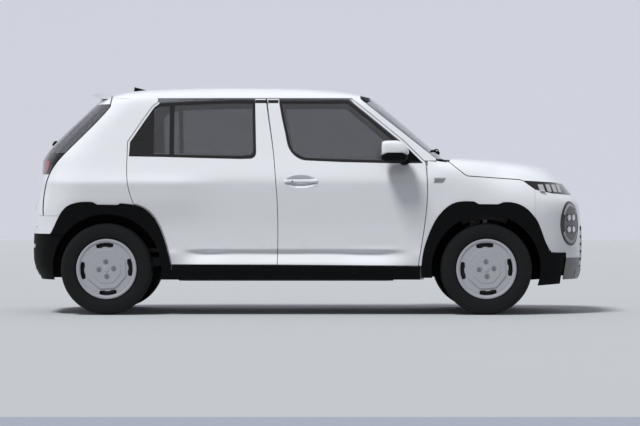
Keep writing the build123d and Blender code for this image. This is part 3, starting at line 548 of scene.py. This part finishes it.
FRONT_WINDOW = [
    (-190, 1459), (-192, 1435), (-170, 1311), (-130, 1140), (-112, 1104), (-87, 1082), (-50, 1060),
    (-9, 1048), (232, 1040), (579, 1031), (779, 1031), (630, 1170), (301, 1440), (276, 1461),
]
FRONT_PANE = [
    (-176, 1438), (-156, 1313), (-117, 1147), (-101, 1115), (-79, 1096), (-45, 1076), (-8, 1064),
    (232, 1056), (560, 1048), (640, 1048), (650, 1110), (606, 1163), (292, 1424), (272, 1439),
]
REAR_WINDOW = [
    (-1218, 1079), (-1211, 1174), (-1115, 1317), (-1051, 1409), (-1014, 1438), (-853, 1449), (-533, 1461),
    (-363, 1461), (-363, 1435), (-354, 1111), (-360, 1085), (-376, 1070), (-461, 1061), (-752, 1068),
    (-991, 1075),
]
REAR_PANE = [
    (-1050, 1092), (-1050, 1398), (-1014, 1420), (-853, 1430), (-533, 1441), (-379, 1441), (-370, 1113),
    (-376, 1096), (-390, 1086), (-461, 1078), (-752, 1084), (-991, 1091),
]
HANDLE_CUP = [
    (-152, 905), (-120, 925), (-86, 948), (-40, 957), (20, 955), (56, 941), (70, 915), (64, 886), (38, 868),
    (-30, 862), (-110, 870), (-146, 884),
]


def side_trim(side, sg):
    """Window borders, seals, door handles, wing marker and lamp blocks of one side."""
    front, rear = f"door_front_{side}", f"door_rear_{side}"
    front_skin, rear_skin = surface(f"door_glass_front_{side}"), surface(f"door_glass_rear_{side}")
    panel, on_rear = surface(front), (rear_skin, side, rear)
    inlay(f"window_border_front_{side}", FRONT_WINDOW, front_skin, side, front, *GLOSS, thick=2.4,
          holes=[FRONT_PANE])
    inlay(f"window_border_rear_{side}", REAR_WINDOW, *on_rear, *GLOSS, thick=2.4, holes=[REAR_PANE])
    bar = [(-943, 1082), (-912, 1081), (-912, 1427), (-943, 1425)]
    inlay(f"window_bar_rear_{side}", bar, *on_rear, *GLOSS, thick=2.6)
    insert = [(-1206, 1088), (-1200, 1172), (-1106, 1312), (-1064, 1372), (-1064, 1088)]
    inlay(f"quarter_insert_{side}", insert, *on_rear, *SEAL, lift=2.4, thick=1.4,
          holes=[box(-1143, 1156, 29, 52, 14)])
    inlay(f"rear_handle_{side}", box(-1143, 1196.5, 23, 8.5, 7), *on_rear, *GLOSS, lift=3.4, thick=3.2,
          crown=1.2, step=8)
    for name, a, tall in (("a", -1094, 232), ("b", -1078, 248)):
        inlay(f"quarter_rib_{name}_{side}", box(a, 1098 + tall / 2, 4, tall / 2, 3), *on_rear, *GLOSS,
              lift=3.6, thick=0.8)
    # black strip carried over both pillar covers above the windows
    for door, a0, a1 in ((front, -272, -180), (rear, -366, -279)):
        strip = [(a0, 1443), (a1, 1443), (a1, 1463), (a0, 1463)]
        inlay(f"pillar_strip_{door}", strip, surface(door), side, door, *GLOSS, thick=2.2, step=8)
    # waist seals: a thin rubber strip where the glass enters the door
    for door, glass_skin, (a0, a1, b0, b1) in (
        (front, front_skin, (-20, 770, 1046, 1030)), (rear, rear_skin, (-1200, -380, 1080, 1066)),
    ):
        strip = [(a0, b0), (a1, b1), (a1, b1 + 11), (a0, b0 + 11)]
        inlay(f"waist_seal_{door}", strip, glass_skin, side, door, *SEAL, lift=2.3, thick=1.6)

    # front door handle: shaded cup, a bowed grip over it and a lock cover behind
    inlay(f"handle_cup_{side}", HANDLE_CUP, panel, side, front, *BODY, thick=0.5, step=12,
          holes=[inset(HANDLE_CUP, 7)])
    path = laid_path(panel, side, (-158, 904), (64, 908), 24, lambda t: sin(pi * t) ** 0.45 * 20 - 2)
    sweep(f"handle_grip_{side}", path, ellipse(0, 0, 8, 13, 16), front, *BODY)
    lock, _ = hit(panel, side, -0.105, 0.905)
    lathe(f"handle_lock_{side}", [(0, 27.2), (5.5, 27.2), (6.5, 26.4), (6.5, 24), (0, 24)], lock, front,
          STEEL, "black_plastic", (0, sg, 0), 24)

    # marker on the wing: a slim lamp in a bright frame
    wing = surface("front_wings")
    marker = rounded([(846, 893), (916, 896), (938, 930), (858, 930)], 7)
    inlay(f"wing_marker_{side}", marker, wing, side, "body", BRIGHT, "black_gloss", thick=2.2, step=12,
          holes=[inset(marker, 6)])
    inlay(f"wing_marker_lens_{side}", inset(marker, 6.5), wing, side, "body", GREY, "black_gloss",
          thick=1.6, step=12, crown=0.8)

    # lamp blocks in the band beside the bonnet
    band = surface("signal_band")
    lean = 14
    for k, (low, high) in enumerate(((1566, 1604), (1622, 1652), (1666, 1692), (1703, 1727))):
        block = [(low, 886), (high, 885), (high + lean, 836 - k * 2), (low + lean, 840 - k * 2)]
        inlay(f"signal_block_{k}_{side}", rounded(block, 4, 2), band, side, "body", PIXEL, "black_gloss",
              thick=0.8, step=10)


for side, sg in SIDES:
    side_trim(side, sg)

# painted shade: a dark rubber sheet between the arch liner and the wing, over the front wheel, that stands
# in for the shade at the top of the arch and also closes a gap where light showed through
ARCH_RADIUS, SHADE_SHEET_INNER_RADIUS = 372, 336
# outline of the dark sheet that stands in for the shade in the arch
seal = arc_band(ARCH_RADIUS, ARCH_RADIUS, SHADE_SHEET_INNER_RADIUS, SHADE_SHEET_INNER_RADIUS, 66, 117, 17)
for side, sg in SIDES:
    extruded(f"arch_shade_sheet_{side}", seal, *sorted((sg * 690, sg * 696)), (FRONT_AXLE_X, 0, AXLE_Z), "body",
             *SEAL)

# ------------------------------ headlamps
LAMP_PLACE, LAMP_TURN = (1.790, 0.562, 0.619), radians(33)
lens = surface("headlamps")
for side, sg in SIDES:
    axis = Vector((cos(LAMP_TURN), sg * sin(LAMP_TURN), 0))
    across = Vector((sin(LAMP_TURN), -sg * cos(LAMP_TURN), 0))
    view = f"lamp_{side}"
    add_view(view, (LAMP_PLACE[0], sg * LAMP_PLACE[1], LAMP_PLACE[2]), (0, 0, 1), -axis, across)
    inlay(f"lamp_bezel_{side}", ellipse(0, 0, 119, 151, 72), lens, view, "body", *BEZEL, thick=2.0,
          step=16, holes=[ellipse(0, 0, 107, 138, 72)])
    for name, start, stop in (("upper", 28, 152), ("lower", 208, 332)):
        ring = arc_band(106, 137, 86, 114, start, stop, 30)
        inlay(f"lamp_light_ring_{name}_{side}", ring, lens, view, "body", PIXEL, "lamp_glass", thick=1.6,
              step=10, crown=1.4)
    inlay(f"lamp_bowl_{side}", ellipse(0, 0, 83, 111, 60), lens, view, "body", GREY, "lamp_glass",
          thick=0.8, step=10)
    for row, height in (("top", 40), ("low", -40)):
        inlay(f"lamp_cell_{row}_{side}", box(0, height, 62, 26, 14), lens, view, "body", *BEZEL, lift=0.8,
              thick=1.0, step=10)
        for k, spot in enumerate((-32, 32)):
            inlay(f"lamp_eye_{row}_{k}_{side}", ellipse(spot, height, 21, 21, 28), lens, view, "body",
                  BRIGHT, "lamp_glass", lift=1.8, thick=0.8, step=7, crown=1.6)


# ------------------------------ nose
PLATE_Z, REAR_PLATE_Z = 449, 772
grille = surface("lower_cladding")
cells = []
for row in range(5):
    for column in range(13):
        a, b = -372 + column * 62, 345 + row * 52
        if b == PLATE_Z and abs(a) < 250:  # the number plate covers these
            continue
        cells.append(inlay(f"grille_cell_{len(cells)}", box(a, b, 22, 17, 8), grille, "front", "body",
                           *TRIM, thick=0.5, step=24))
verts, faces = merged(cell.data for cell in cells)
for cell in cells:
    bpy.data.objects.remove(cell)
piece("grille_cells", verts, faces, "body", GLOSS_BLACK)
inlay("plate_front", box(0, PLATE_Z, 255, 54, 10), grille, "front", "body", *BODY, lift=0.4, thick=0.6,
      step=30)
inlay("plate_frame_front", box(0, PLATE_Z, 268, 66, 12), grille, "front", "body", *TRIM, thick=0.7, step=30)
skid = surface("front_skid_plate")
for k, a in enumerate((-470, -280, -95, 95, 280, 470)):
    inlay(f"skid_rib_{k}", box(a, 277, 14, 29, 8), skid, "front", "body", *RIB, thick=2.0, step=12,
          crown=1.0)

# ------------------------------ screens and tail
SCREEN_PLANE = (0.683, 0, 1.29), (-0.766, 0, 0.643)
add_view("screen", *SCREEN_PLANE, (-0.643, 0, -0.766))
add_view("hatch", (-1.66, 0, 1.265), (0.711, 0, 0.703), (0.703, 0, -0.711))
screen = surface("windscreen")
screen_edge = [(-688, -268), (-400, -300), (0, -312), (400, -300), (688, -268), (600, 236), (0, 268),
               (-600, 236)]
screen_hole = [
    (-640, -216), (-380, -240), (0, -248), (380, -240), (640, -216), (566, 204), (100, 224), (70, 190),
    (-70, 190), (-100, 224), (-566, 204),
]
inlay("windscreen_border", rounded(screen_edge, 40), screen, "screen", "body", *GLOSS, lift=-0.2,
      thick=1.4, step=60, holes=[rounded(screen_hole, 26)])
back_glass = surface("tailgate_glass")
glass_edge = [(-596, -196), (-300, -202), (300, -202), (596, -196), (520, 218), (0, 236), (-520, 218)]
glass_hole = [(-540, -140), (0, -150), (540, -140), (474, 176), (0, 192), (-474, 176)]
inlay("back_glass_border", rounded(glass_edge, 30), back_glass, "hatch", "tailgate", *GLOSS, thick=1.2,
      step=60, holes=[rounded(glass_hole, 30)])
for row in range(9):
    b = -112 + row * 32
    reach = 510 - (b + 140) * 0.22
    inlay(f"back_glass_heater_{row}", [(-reach, b), (reach, b), (reach, b + 1.6), (-reach, b + 1.6)],
          back_glass, "hatch", "tailgate", STEEL, "black_gloss", thick=0.35, step=80)

band = surface("tail_lamp_band")
for side, sg in SIDES:
    for row in range(3):
        for column in range(4):
            a, b = sg * (348 + column * 66), 986 + row * 32
            inlay(f"tail_block_{row}_{column}_{side}", box(a, b, 24, 10, 4), band, "rear", "tailgate",
                  RED_LENS if column else PIXEL, "black_gloss", thick=1.0, step=16, crown=0.6)
    turn = radians(48)
    look = Vector((cos(turn), -sg * sin(turn), 0))
    across = Vector((sin(turn), sg * cos(turn), 0))
    add_view(f"corner_{side}", (-1.72, sg * 0.60, 0), (0, 0, 1), look, across)
    outline = rounded([(-66, 966), (-46, 964), (-24, 990), (-14, 1020), (-20, 1046), (-72, 1046)], 8)
    inlay(f"tail_lens_{side}", outline, band, f"corner_{side}", "tailgate", RED_LENS, "black_gloss",
          thick=1.6, step=12, crown=0.8)

# plain number plate in its frame, the boot release, and the reflectors, fogs, ribs and sensors below
hatch = surface("tailgate")
inlay("plate_frame_rear", box(0, REAR_PLATE_Z, 272, 66, 12), hatch, "rear", "tailgate", *TRIM, thick=3.0,
      step=30)
inlay("plate_rear", box(0, REAR_PLATE_Z, 258, 54, 8), hatch, "rear", "tailgate", *BODY, lift=3.0, thick=1.8,
      step=30)
inlay("hatch_release", box(0, 869, 150, 11, 8), hatch, "rear", "tailgate", *TRIM, thick=6.0, step=20,
      crown=3.0)
low, bumper = surface("lower_cladding"), surface("bumper_covers")
for side, sg in SIDES:
    inlay(f"rear_reflector_{side}", box(sg * 440, 465, 56, 13, 8), low, "rear", "body", RED_LENS,
          "black_plastic", thick=1.0, step=14, crown=0.6)
    inlay(f"rear_fog_{side}", box(sg * 360, 346, 50, 16, 8), low, "rear", "body",
          RED_LENS if sg < 0 else PIXEL, "black_plastic", thick=1.2, step=14, crown=0.6)
    for k in range(3):
        a = sg * (120 + 90 * k)
        inlay(f"rear_skid_rib_{k}_{side}", box(a, 290, 16, 28, 8), low, "rear", "body", *RIB, thick=4.0,
              step=14, crown=1.5)
    for k, a in enumerate((330, 520)):
        spot, _ = hit(bumper, "rear", sg * a * MM, 0.60)
        lathe(f"park_sensor_{k}_{side}", [(0, 2.4), (9, 2.2), (11, 1.4), (11.5, -2), (0, -2)], spot, "body",
              *BODY, (-1, 0, 0), 28)


def wiper(name, target, view, pivot, tip, blade, body, lift=12, knob=1.0):
    """Bent arm from a pivot to the middle of a blade pressed to the glass; places are drawn in mm.

    knob is the size of the cap over the pivot, against the plain one."""
    _, normal = hit(target, view, tip[0] * MM, tip[1] * MM)
    path = laid_path(target, view, pivot, tip, 12, lambda t: lift + 10 * sin(pi * t))
    sweep(f"{name}_arm", path, ellipse(0, 0, 6.0, 3.2, 12), body, *TRIM, up=normal)
    section = [(-5.0, -1.5), (-1.2, -5.6), (1.2, -5.6), (5.0, -1.5), (6.0, 1.5), (2.5, 5.0), (-2.5, 5.0),
               (-6.0, 1.5)]
    sweep(f"{name}_blade", laid_path(target, view, *blade, 24, lambda t: 6.5), section, body, *TRIM,
          up=normal)
    spot, normal = hit(target, view, pivot[0] * MM, pivot[1] * MM)
    cap = [(r * knob, out * knob) for r, out in ((0, 22), (9, 21), (13, 17), (15, 8), (16, 0), (0, 0))]
    lathe(f"{name}_pivot", cap, spot, body, *TRIM, normal, 28)


wiper("rear_wiper", back_glass, "hatch", (0, -150), (250, -110), ((110, -128), (400, -88)), "tailgate",
      knob=1.7)
for side, pivot, tip, blade in (
    ("left", (560, -262), (250, -244), ((470, -250), (-20, -262))),
    ("right", (-60, -290), (-330, -256), ((-110, -272), (-570, -236))),
):
    wiper(f"front_wiper_{side}", screen, "screen", pivot, tip, blade, "body", 14)


# ------------------------------ mirrors
def pod(name, outline, inner, outer, spread, body, mat, slot):
    """Rounded shell of a mirror between two places across the car: the outline is drawn in at both ends."""
    middle_x, middle_z, steps = 0.588, 1.126, 14
    rings = []
    for i in range(steps + 1):
        t = i / steps
        share = 0.60 + 0.40 * (sin(pi * t) ** 0.32 if 0 < t < 1 else 0.0)
        place = Vector((middle_x, inner + (outer - inner) * t, middle_z))
        rings.append([place + Vector((a * share * spread, 0, b * share)) * MM for a, b in outline])
    return tube(name, rings, body, mat, 50)


MIRROR_INNER_Y = 0.800
for side, sg in SIDES:
    door = f"door_front_{side}"
    low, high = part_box(f"mirror_{side}")
    outer, inner = (low if sg < 0 else high)[1], sg * MIRROR_INNER_Y
    cap = [(-98, -44), (-100, 20), (-92, 46), (-70, 56), (14, 57), (52, 46), (80, 18), (95, -12), (95, -44)]
    base = [(-98, -46), (-92, -80), (-70, -93), (60, -90), (84, -78), (95, -46)]
    shell = pod(f"mirror_cap_{side}", rounded(cap, 16, 5), inner, outer, 1.0, door, *BODY)
    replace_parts(shell, f"mirror_{side}")
    pod(f"mirror_base_{side}", rounded(base, 16, 5), inner, outer, 0.985, door, *TRIM)
    arm = [(x, sg * y, z) for x, y, z in
           ((0.668, 0.842, 1.040), (0.664, 0.815, 1.036), (0.658, 0.785, 1.032), (0.654, 0.755, 1.030))]
    sweep(f"mirror_arm_{side}", smooth_run(arm, 4), ellipse(0, 0, 27, 15, 24), door, *TRIM)
    sail = rounded([(650, 1036), (778, 1036), (652, 1148)], 5)
    inlay(f"mirror_sail_{side}", sail, surface(f"door_glass_front_{side}"), side, door, *TRIM, lift=0.5,
          thick=2.8, step=20)
    back = BVHTree.FromPolygons(*merged([shell.data]))
    face = box((outer + inner) / 2 / MM, 1130, abs(outer - inner) / 2 / MM - 22, 36, 20)
    inlay(f"mirror_face_{side}", face, back, "rear", door, BRIGHT, "black_gloss", thick=0.8, step=20)


# ------------------------------ cabin
SEAM = 7.0  # depth and half-width of a sewn channel, mm
PINCH = 0.018  # how far a cushion's sides draw in, as a share
FLAT, FRONT_LEAN, BENCH_LEAN = -0.03, radians(-103), radians(-105)
REST_LEAN, BENCH_REST_LEAN = radians(-98), radians(-100)


def pad(name, centre, half, mat, tilt, seams=(), power=(3.4, 3.4, 2.6), crown=0.0):
    """Stuffed cushion: a squared-off ball with sewn channels pressed into its upper side.

    half holds its half sizes in mm, seams the places of its channels along its own x; tilt is about Y."""
    rows, columns = 44, 72
    hx, hy, hz = half
    px, py, pz = power
    verts = []

    def bent(value, power):
        return copysign(abs(value) ** (2 / power), value)

    for r in range(rows + 1):
        lift = -pi / 2 + pi * r / rows
        for c in range(columns):
            turn = 2 * pi * c / columns
            x = bent(cos(lift), pz) * bent(cos(turn), px) * hx
            y = bent(cos(lift), pz) * bent(sin(turn), py) * hy
            z = bent(sin(lift), pz) * hz
            if z > 0:
                z += crown * (1 - (x / hx) ** 2) * (1 - (y / hy) ** 2)
                for place in seams:
                    z -= SEAM * exp(-(((x - place) / SEAM) ** 2))
            edge = 1 - PINCH * cos(2 * turn) ** 2
            verts.append(Vector((x * edge, y * edge, z)))
    turn = Matrix.Rotation(tilt, 3, "Y")
    made = piece(name, [Vector(centre) + turn @ v * MM for v in verts], ladder(rows + 1, columns), "body",
                 mat, 60)
    return made


def row_of_seams(low, high, count):
    """Places of evenly spread channels."""
    return [low + (high - low) * (i + 0.5) / count for i in range(count)]


RAIL_SECTION = [(-18, -14), (18, -14), (18, 10), (8, 14), (-8, 14), (-18, 10)]
for side, sg in SIDES:
    y = sg * 0.36
    base = pad(f"seat_cushion_{side}", (0.118, y, 0.545), (246, 168, 44), CLOTH, FLAT,
               row_of_seams(-190, 200, 5), crown=6)
    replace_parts(base, "seats")
    for wing in (-1, 1):
        for part, x, off, z, half, lean in (("seat", 0.112, 0.197, 0.540, (236, 40, 52), FLAT),
                                            ("back", -0.108, 0.186, 0.800, (235, 40, 50), FRONT_LEAN)):
            pad(f"{part}_bolster_{wing + 1}_{side}", (x, y + wing * off, z), half, CLOTH_PALE, lean,
                power=(3, 2.4, 2.4))
    pad(f"seat_back_{side}", (-0.117, y, 0.822), (255, 160, 42), CLOTH, FRONT_LEAN,
        row_of_seams(-200, 190, 6), crown=5)
    pad(f"head_rest_{side}", (-0.180, y, 1.145), (62, 120, 38), CLOTH, REST_LEAN, power=(3, 3, 2.6))
    shell = [(-128, 455), (60, 440), (330, 452), (352, 480), (340, 500), (-60, 492), (-120, 520),
             (-150, 500)]
    for wing in (-1, 1):
        extruded(f"seat_shield_{wing + 1}_{side}", rounded(shell, 18), -7, 7, (0, y + wing * 0.232, 0),
                 "body", *CABIN, bevel=3)
        rail = [(x, y + wing * 0.15, 0.372) for x in (-0.12, 0.36)]
        sweep(f"seat_rail_{wing + 1}_{side}", rail, RAIL_SECTION, "body", STEEL, "steel")
        post = [(x, y + wing * 0.05, z) for x, z in ((-0.176, 1.05), (-0.180, 1.12))]
        sweep(f"head_rest_post_{wing + 1}_{side}", post, ellipse(0, 0, 6, 6, 14), "body", BRIGHT, "steel")
    extruded(f"seat_frame_{side}", box(120, 431, 210, 39, 20), -150, 150, (0, y, 0), "body", CHASSIS,
             "chassis", bevel=6)
    belt = [(x, sg * y, z) for x, y, z in
            ((-0.235, 0.615, 1.05), (-0.16, 0.56, 0.98), (-0.09, 0.50, 0.80), (-0.05, 0.585, 0.56))]
    sweep(f"seat_belt_{side}", smooth_run(belt, 6), [(-22, -1), (22, -1), (22, 1), (-22, 1)], "body",
          *CABIN, up=(0, sg, 0.4))

for name, y, half in (("right", -0.345, 172), ("middle", 0.0, 168), ("left", 0.345, 172)):
    pad(f"bench_cushion_{name}", (-0.862, y, 0.541), (228, half, 44), CLOTH, FLAT,
        row_of_seams(-180, 180, 4), crown=5)
    pad(f"bench_back_{name}", (-1.120, y, 0.835), (248, half, 44), CLOTH, BENCH_LEAN,
        row_of_seams(-190, 190, 5), crown=5)
    pad(f"bench_head_rest_{name}", (-1.205, y, 1.125), (46, 105, 34), CLOTH_PALE, BENCH_REST_LEAN)
extruded("bench_base", box(-835, 432, 185, 60, 30), -500, 500, (0, 0, 0), "body", *CABIN, bevel=8)

# steering wheel: wrapped rim, three spokes, a plain centre pad and the column shroud
wheel_spot, lean = Vector((0.478, 0.36, 0.900)), radians(64)
axis = Vector((-sin(lean), 0, cos(lean)))
ring = ellipse(172, 0, 15, 15, 20)
rim = lathe("steering_rim", ring + ring[:1], wheel_spot, "steering_wheel", *CABIN, axis, 90, 60)
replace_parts(rim, "steering_wheel")
lathe("steering_pad", [(0, 14), (34, 13), (50, 8), (56, -2), (52, -22), (0, -26)], wheel_spot,
      "steering_wheel", *CABIN, axis, 48)
turned = Vector((0, 0, 1)).rotation_difference(axis).to_matrix()
downwards = Vector((1, 0, 0)) if (turned @ Vector((1, 0, 0))).z < 0 else Vector((-1, 0, 0))
for k, reach in enumerate((Vector((0, 1, 0)), Vector((0, -1, 0)), downwards)):
    start, end = wheel_spot + turned @ (reach * 0.045), wheel_spot + turned @ (reach * 0.162)
    sweep(f"steering_spoke_{k}", [start, (start + end) / 2 - axis * 0.004, end], ellipse(0, 0, 17, 6, 14),
          "steering_wheel", *KNOB, up=axis)
lathe("steering_column", [(0, -22), (24, -24), (26, -60), (26, -66), (16, -70), (16, -110), (0, -112)],
      wheel_spot, "steering_wheel", *CABIN, axis, 32)

# dashboard: a wide pale shelf, two blank screens in one frame, vents, switches and a shelf edge
add_view("dash", (0.55, 0, 0.90), (0.28, 0, 1), (1, 0, -0.28))
on_dash = (surface("dashboard"), "dash", "body")
for name, near, far, low, high, y0, y1, mat in (
    ("screen_bezel", 574, 590, 962, 1066, -45, 565, GLOSS_BLACK),
    ("screen_driver", 571.5, 575, 970, 1058, 280, 552, SCREEN),
    ("screen_middle", 571.5, 575, 970, 1058, -30, 245, SCREEN),
):
    outline = rounded([(near, low), (far, low), (far + 10, high), (near + 10, high)], 3, 3)
    extruded(name, outline, y0, y1, (0, 0, 0), "body", mat, "dash_plastic", bevel=1.2)
for k, y in enumerate((-560, -170, 600)):
    inlay(f"dash_vent_{k}", box(y, 0, 52, 22, 10), *on_dash, *FRAME, thick=4.0, step=20)
    for row in range(4):
        slat = box(y, -15 + row * 10, 46, 2, 1.5)
        inlay(f"dash_slat_{k}_{row}", slat, *on_dash, *KNOB, lift=4.0, thick=2.0, step=30)
inlay("dash_band", box(0, -50, 600, 12, 8), *on_dash, *PALE, thick=2.5, step=60)
inlay("glove_box", box(-355, -122.5, 205, 42.5, 12), *on_dash, *PALE, thick=3.0, step=40)
for k in range(5):
    inlay(f"dash_switch_{k}", box(34 + k * 36, -95, 14, 9, 4), *on_dash, *KNOB, thick=5.0, step=14,
          crown=1.0)
console = [(40, 372), (420, 372), (480, 560), (470, 640), (300, 610), (120, 560), (30, 540)]
extruded("centre_console", rounded(console, 26), -78, 78, (0.06, 0, 0), "body", *CABIN, bevel=10)

# carpets, roof lining, inner mirror and door linings
floor = surface("floor_pan")
for side, sg in SIDES:
    for end, a, b, half_a, half_b in (("front", 555, 360, 205, 190), ("rear", -365, 330, 195, 200)):
        edge = box(a, sg * b, half_a, half_b, 40)
        inlay(f"mat_{end}_{side}", edge, floor, "top", "body", *FLEECE, thick=9.0, step=60)
VIEWS["lining"] = (lambda a, b: Vector((a, b, 1.25)), Vector((0, 0, 1)))
roof = surface("roof_panel")
inlay("roof_lining", rounded([(-1280, -470), (330, -470), (372, 0), (330, 470), (-1280, 470)], 40), roof,
      "lining", "body", *PALE, lift=0.4, thick=9.0, step=90)
inlay("boot_carpet", box(-1410, 0, 350, 540, 30), floor, "top", "body", *FLEECE, thick=8.0, step=90)
add_view("screen_inside", *SCREEN_PLANE, (0.643, 0, 0.766))
place, _ = hit(screen, "screen_inside", 0, 0.17)
hang = -Vector((0.45, 0, 0.9))
lathe("inner_mirror_stalk", [(0, 0), (14, 0), (11, 14), (8, 50), (0, 52)], place, "body", *CABIN, hang, 24)
stem = place + hang.normalized() * 0.055
extruded("inner_mirror", rounded([(-9, -32), (9, -32), (11, 32), (-7, 32)], 5), -118, 118, stem, "body",
         *FRAME, bevel=3)
for side, sg in SIDES:
    view = f"inside_{side}"
    VIEWS[view] = (lambda a, b, sg=sg: Vector((a, sg * 0.30, b)), Vector((0, sg, 0)))
    for name, edge, (rest_rear, rest_front, rest_z) in (
        ("front", [(-150, 400), (690, 400), (720, 700), (700, 985), (-170, 985), (-176, 700)],
         (60, 420, 720)),
        ("rear", [(-860, 560), (-800, 420), (-300, 400), (-300, 990), (-960, 990), (-960, 800)],
         (-820, -420, 730)),
    ):
        door = f"door_{name}_{side}"
        inner = surface(door)
        inlay(f"door_card_{name}_{side}", rounded(edge, 40), inner, view, door, *CABIN, thick=6.0, step=60)
        strip = box((rest_rear + rest_front) / 2, rest_z + 90, (rest_front - rest_rear) / 2 + 60, 30, 14)
        inlay(f"door_cloth_{name}_{side}", strip, inner, view, door, CLOTH_PALE, "seat_fabric", lift=6.0,
              thick=4.0, step=50)
        path = laid_path(inner, view, (rest_rear, rest_z), (rest_front, rest_z), 12,
                         lambda t: 8 + 14 * sin(pi * t) ** 0.4)
        sweep(f"door_rest_{name}_{side}", path, ellipse(0, 0, 15, 20, 16), door, *CABIN)


# ------------------------------ stage, light and camera
def dim_bounce(mat, bounce):
    """Floor pale to the eye that throws less light back up at the car."""
    nodes, links = mat.node_tree.nodes, mat.node_tree.links
    shader = nodes["Principled BSDF"]
    seen = shader.inputs["Base Color"].links[0].from_socket
    path = nodes.new("ShaderNodeLightPath")
    mix = add_mix(nodes, (bounce, bounce, bounce * 1.03))
    links.new(seen, mix.inputs["B"])
    total = path.outputs["Is Camera Ray"]
    for ray in ("Is Glossy Ray", "Is Transmission Ray"):
        total = add_math(nodes, links, "MAXIMUM", total, path.outputs[ray])
    links.new(total, mix.inputs["Factor"])
    links.new(mix.outputs["Result"], shader.inputs["Base Color"])


# how far floor and wall run; a darker field of floor near the camera lies a hair above the other
STAGE_HALF, STAGE_FAR, STAGE_NEAR, STAGE_TOP, FIELD_EDGE, FIELD_NEAR = 90, 36.7, -14, 49.999, -10.2, -60
FLOOR_Z, FIELD_Z = -0.001, -0.0005
FLOOR_BOUNCE = 0.24
SKY_COLOUR, SKY_STRENGTH = (0.93, 0.95, 1.0, 1), 0.39
KEY_ENERGY, KEY_SPREAD, KEY_AIM = 3.3, radians(15), (0.32, 0.38, -0.87)
# a long level lens beside the car, set by the wheels and the roof line in the photograph
CAMERA_PLACE, CAMERA_LENS, SENSOR_WIDTH = (0.0825, -20.805, 0.7796), 165.95, 36
CAMERA_SHIFT, CLIP_END = -13 / 640, 300


def stage():
    """Pale floor meeting a far wall, a soft high key from the camera's side and an even sky."""
    for name, y0, z0, y1, z1, colour in (
        ("floor", STAGE_NEAR, FLOOR_Z, STAGE_FAR, FLOOR_Z, (0.43, 0.448, 0.462)),
        ("near_floor", FIELD_NEAR, FIELD_Z, FIELD_EDGE, FIELD_Z, (0.30, 0.325, 0.385)),
        ("wall", STAGE_FAR, FLOOR_Z, STAGE_FAR, STAGE_TOP, (0.85, 0.862, 0.94)),
    ):
        corners = [(-STAGE_HALF, y0, z0), (STAGE_HALF, y0, z0), (STAGE_HALF, y1, z1), (-STAGE_HALF, y1, z1)]
        mesh = bpy.data.meshes.new(name)
        mesh.from_pydata(corners, [], [(0, 1, 2, 3)])
        mat = finish(f"stage_{name}", colour, 0.85, 3.0, 0.0, 0.012, 0.15)
        if name != "wall":
            dim_bounce(mat, FLOOR_BOUNCE)
        mesh.materials.append(mat)
        linked(name, mesh)
    world = bpy.context.scene.world = bpy.data.worlds.new("sky")
    world.use_nodes = True
    sky = world.node_tree.nodes["Background"].inputs
    sky["Color"].default_value, sky["Strength"].default_value = SKY_COLOUR, SKY_STRENGTH
    key = bpy.data.lights.new("key", "SUN")
    key.energy, key.angle = KEY_ENERGY, KEY_SPREAD
    key_obj = linked("key", key)
    key_obj.visible_glossy = False
    key_obj.rotation_mode = "QUATERNION"
    key_obj.rotation_quaternion = Vector(KEY_AIM).to_track_quat("-Z", "Y")
    camera = bpy.data.cameras.new("camera")
    camera.lens, camera.sensor_width, camera.shift_y = CAMERA_LENS, SENSOR_WIDTH, CAMERA_SHIFT
    camera.clip_end = CLIP_END
    camera_obj = linked("camera", camera)
    camera_obj.location = CAMERA_PLACE
    camera_obj.rotation_euler = (radians(90), 0, 0)
    bpy.context.scene.camera = camera_obj


stage()
bpy.context.scene.view_settings.view_transform = "Standard"
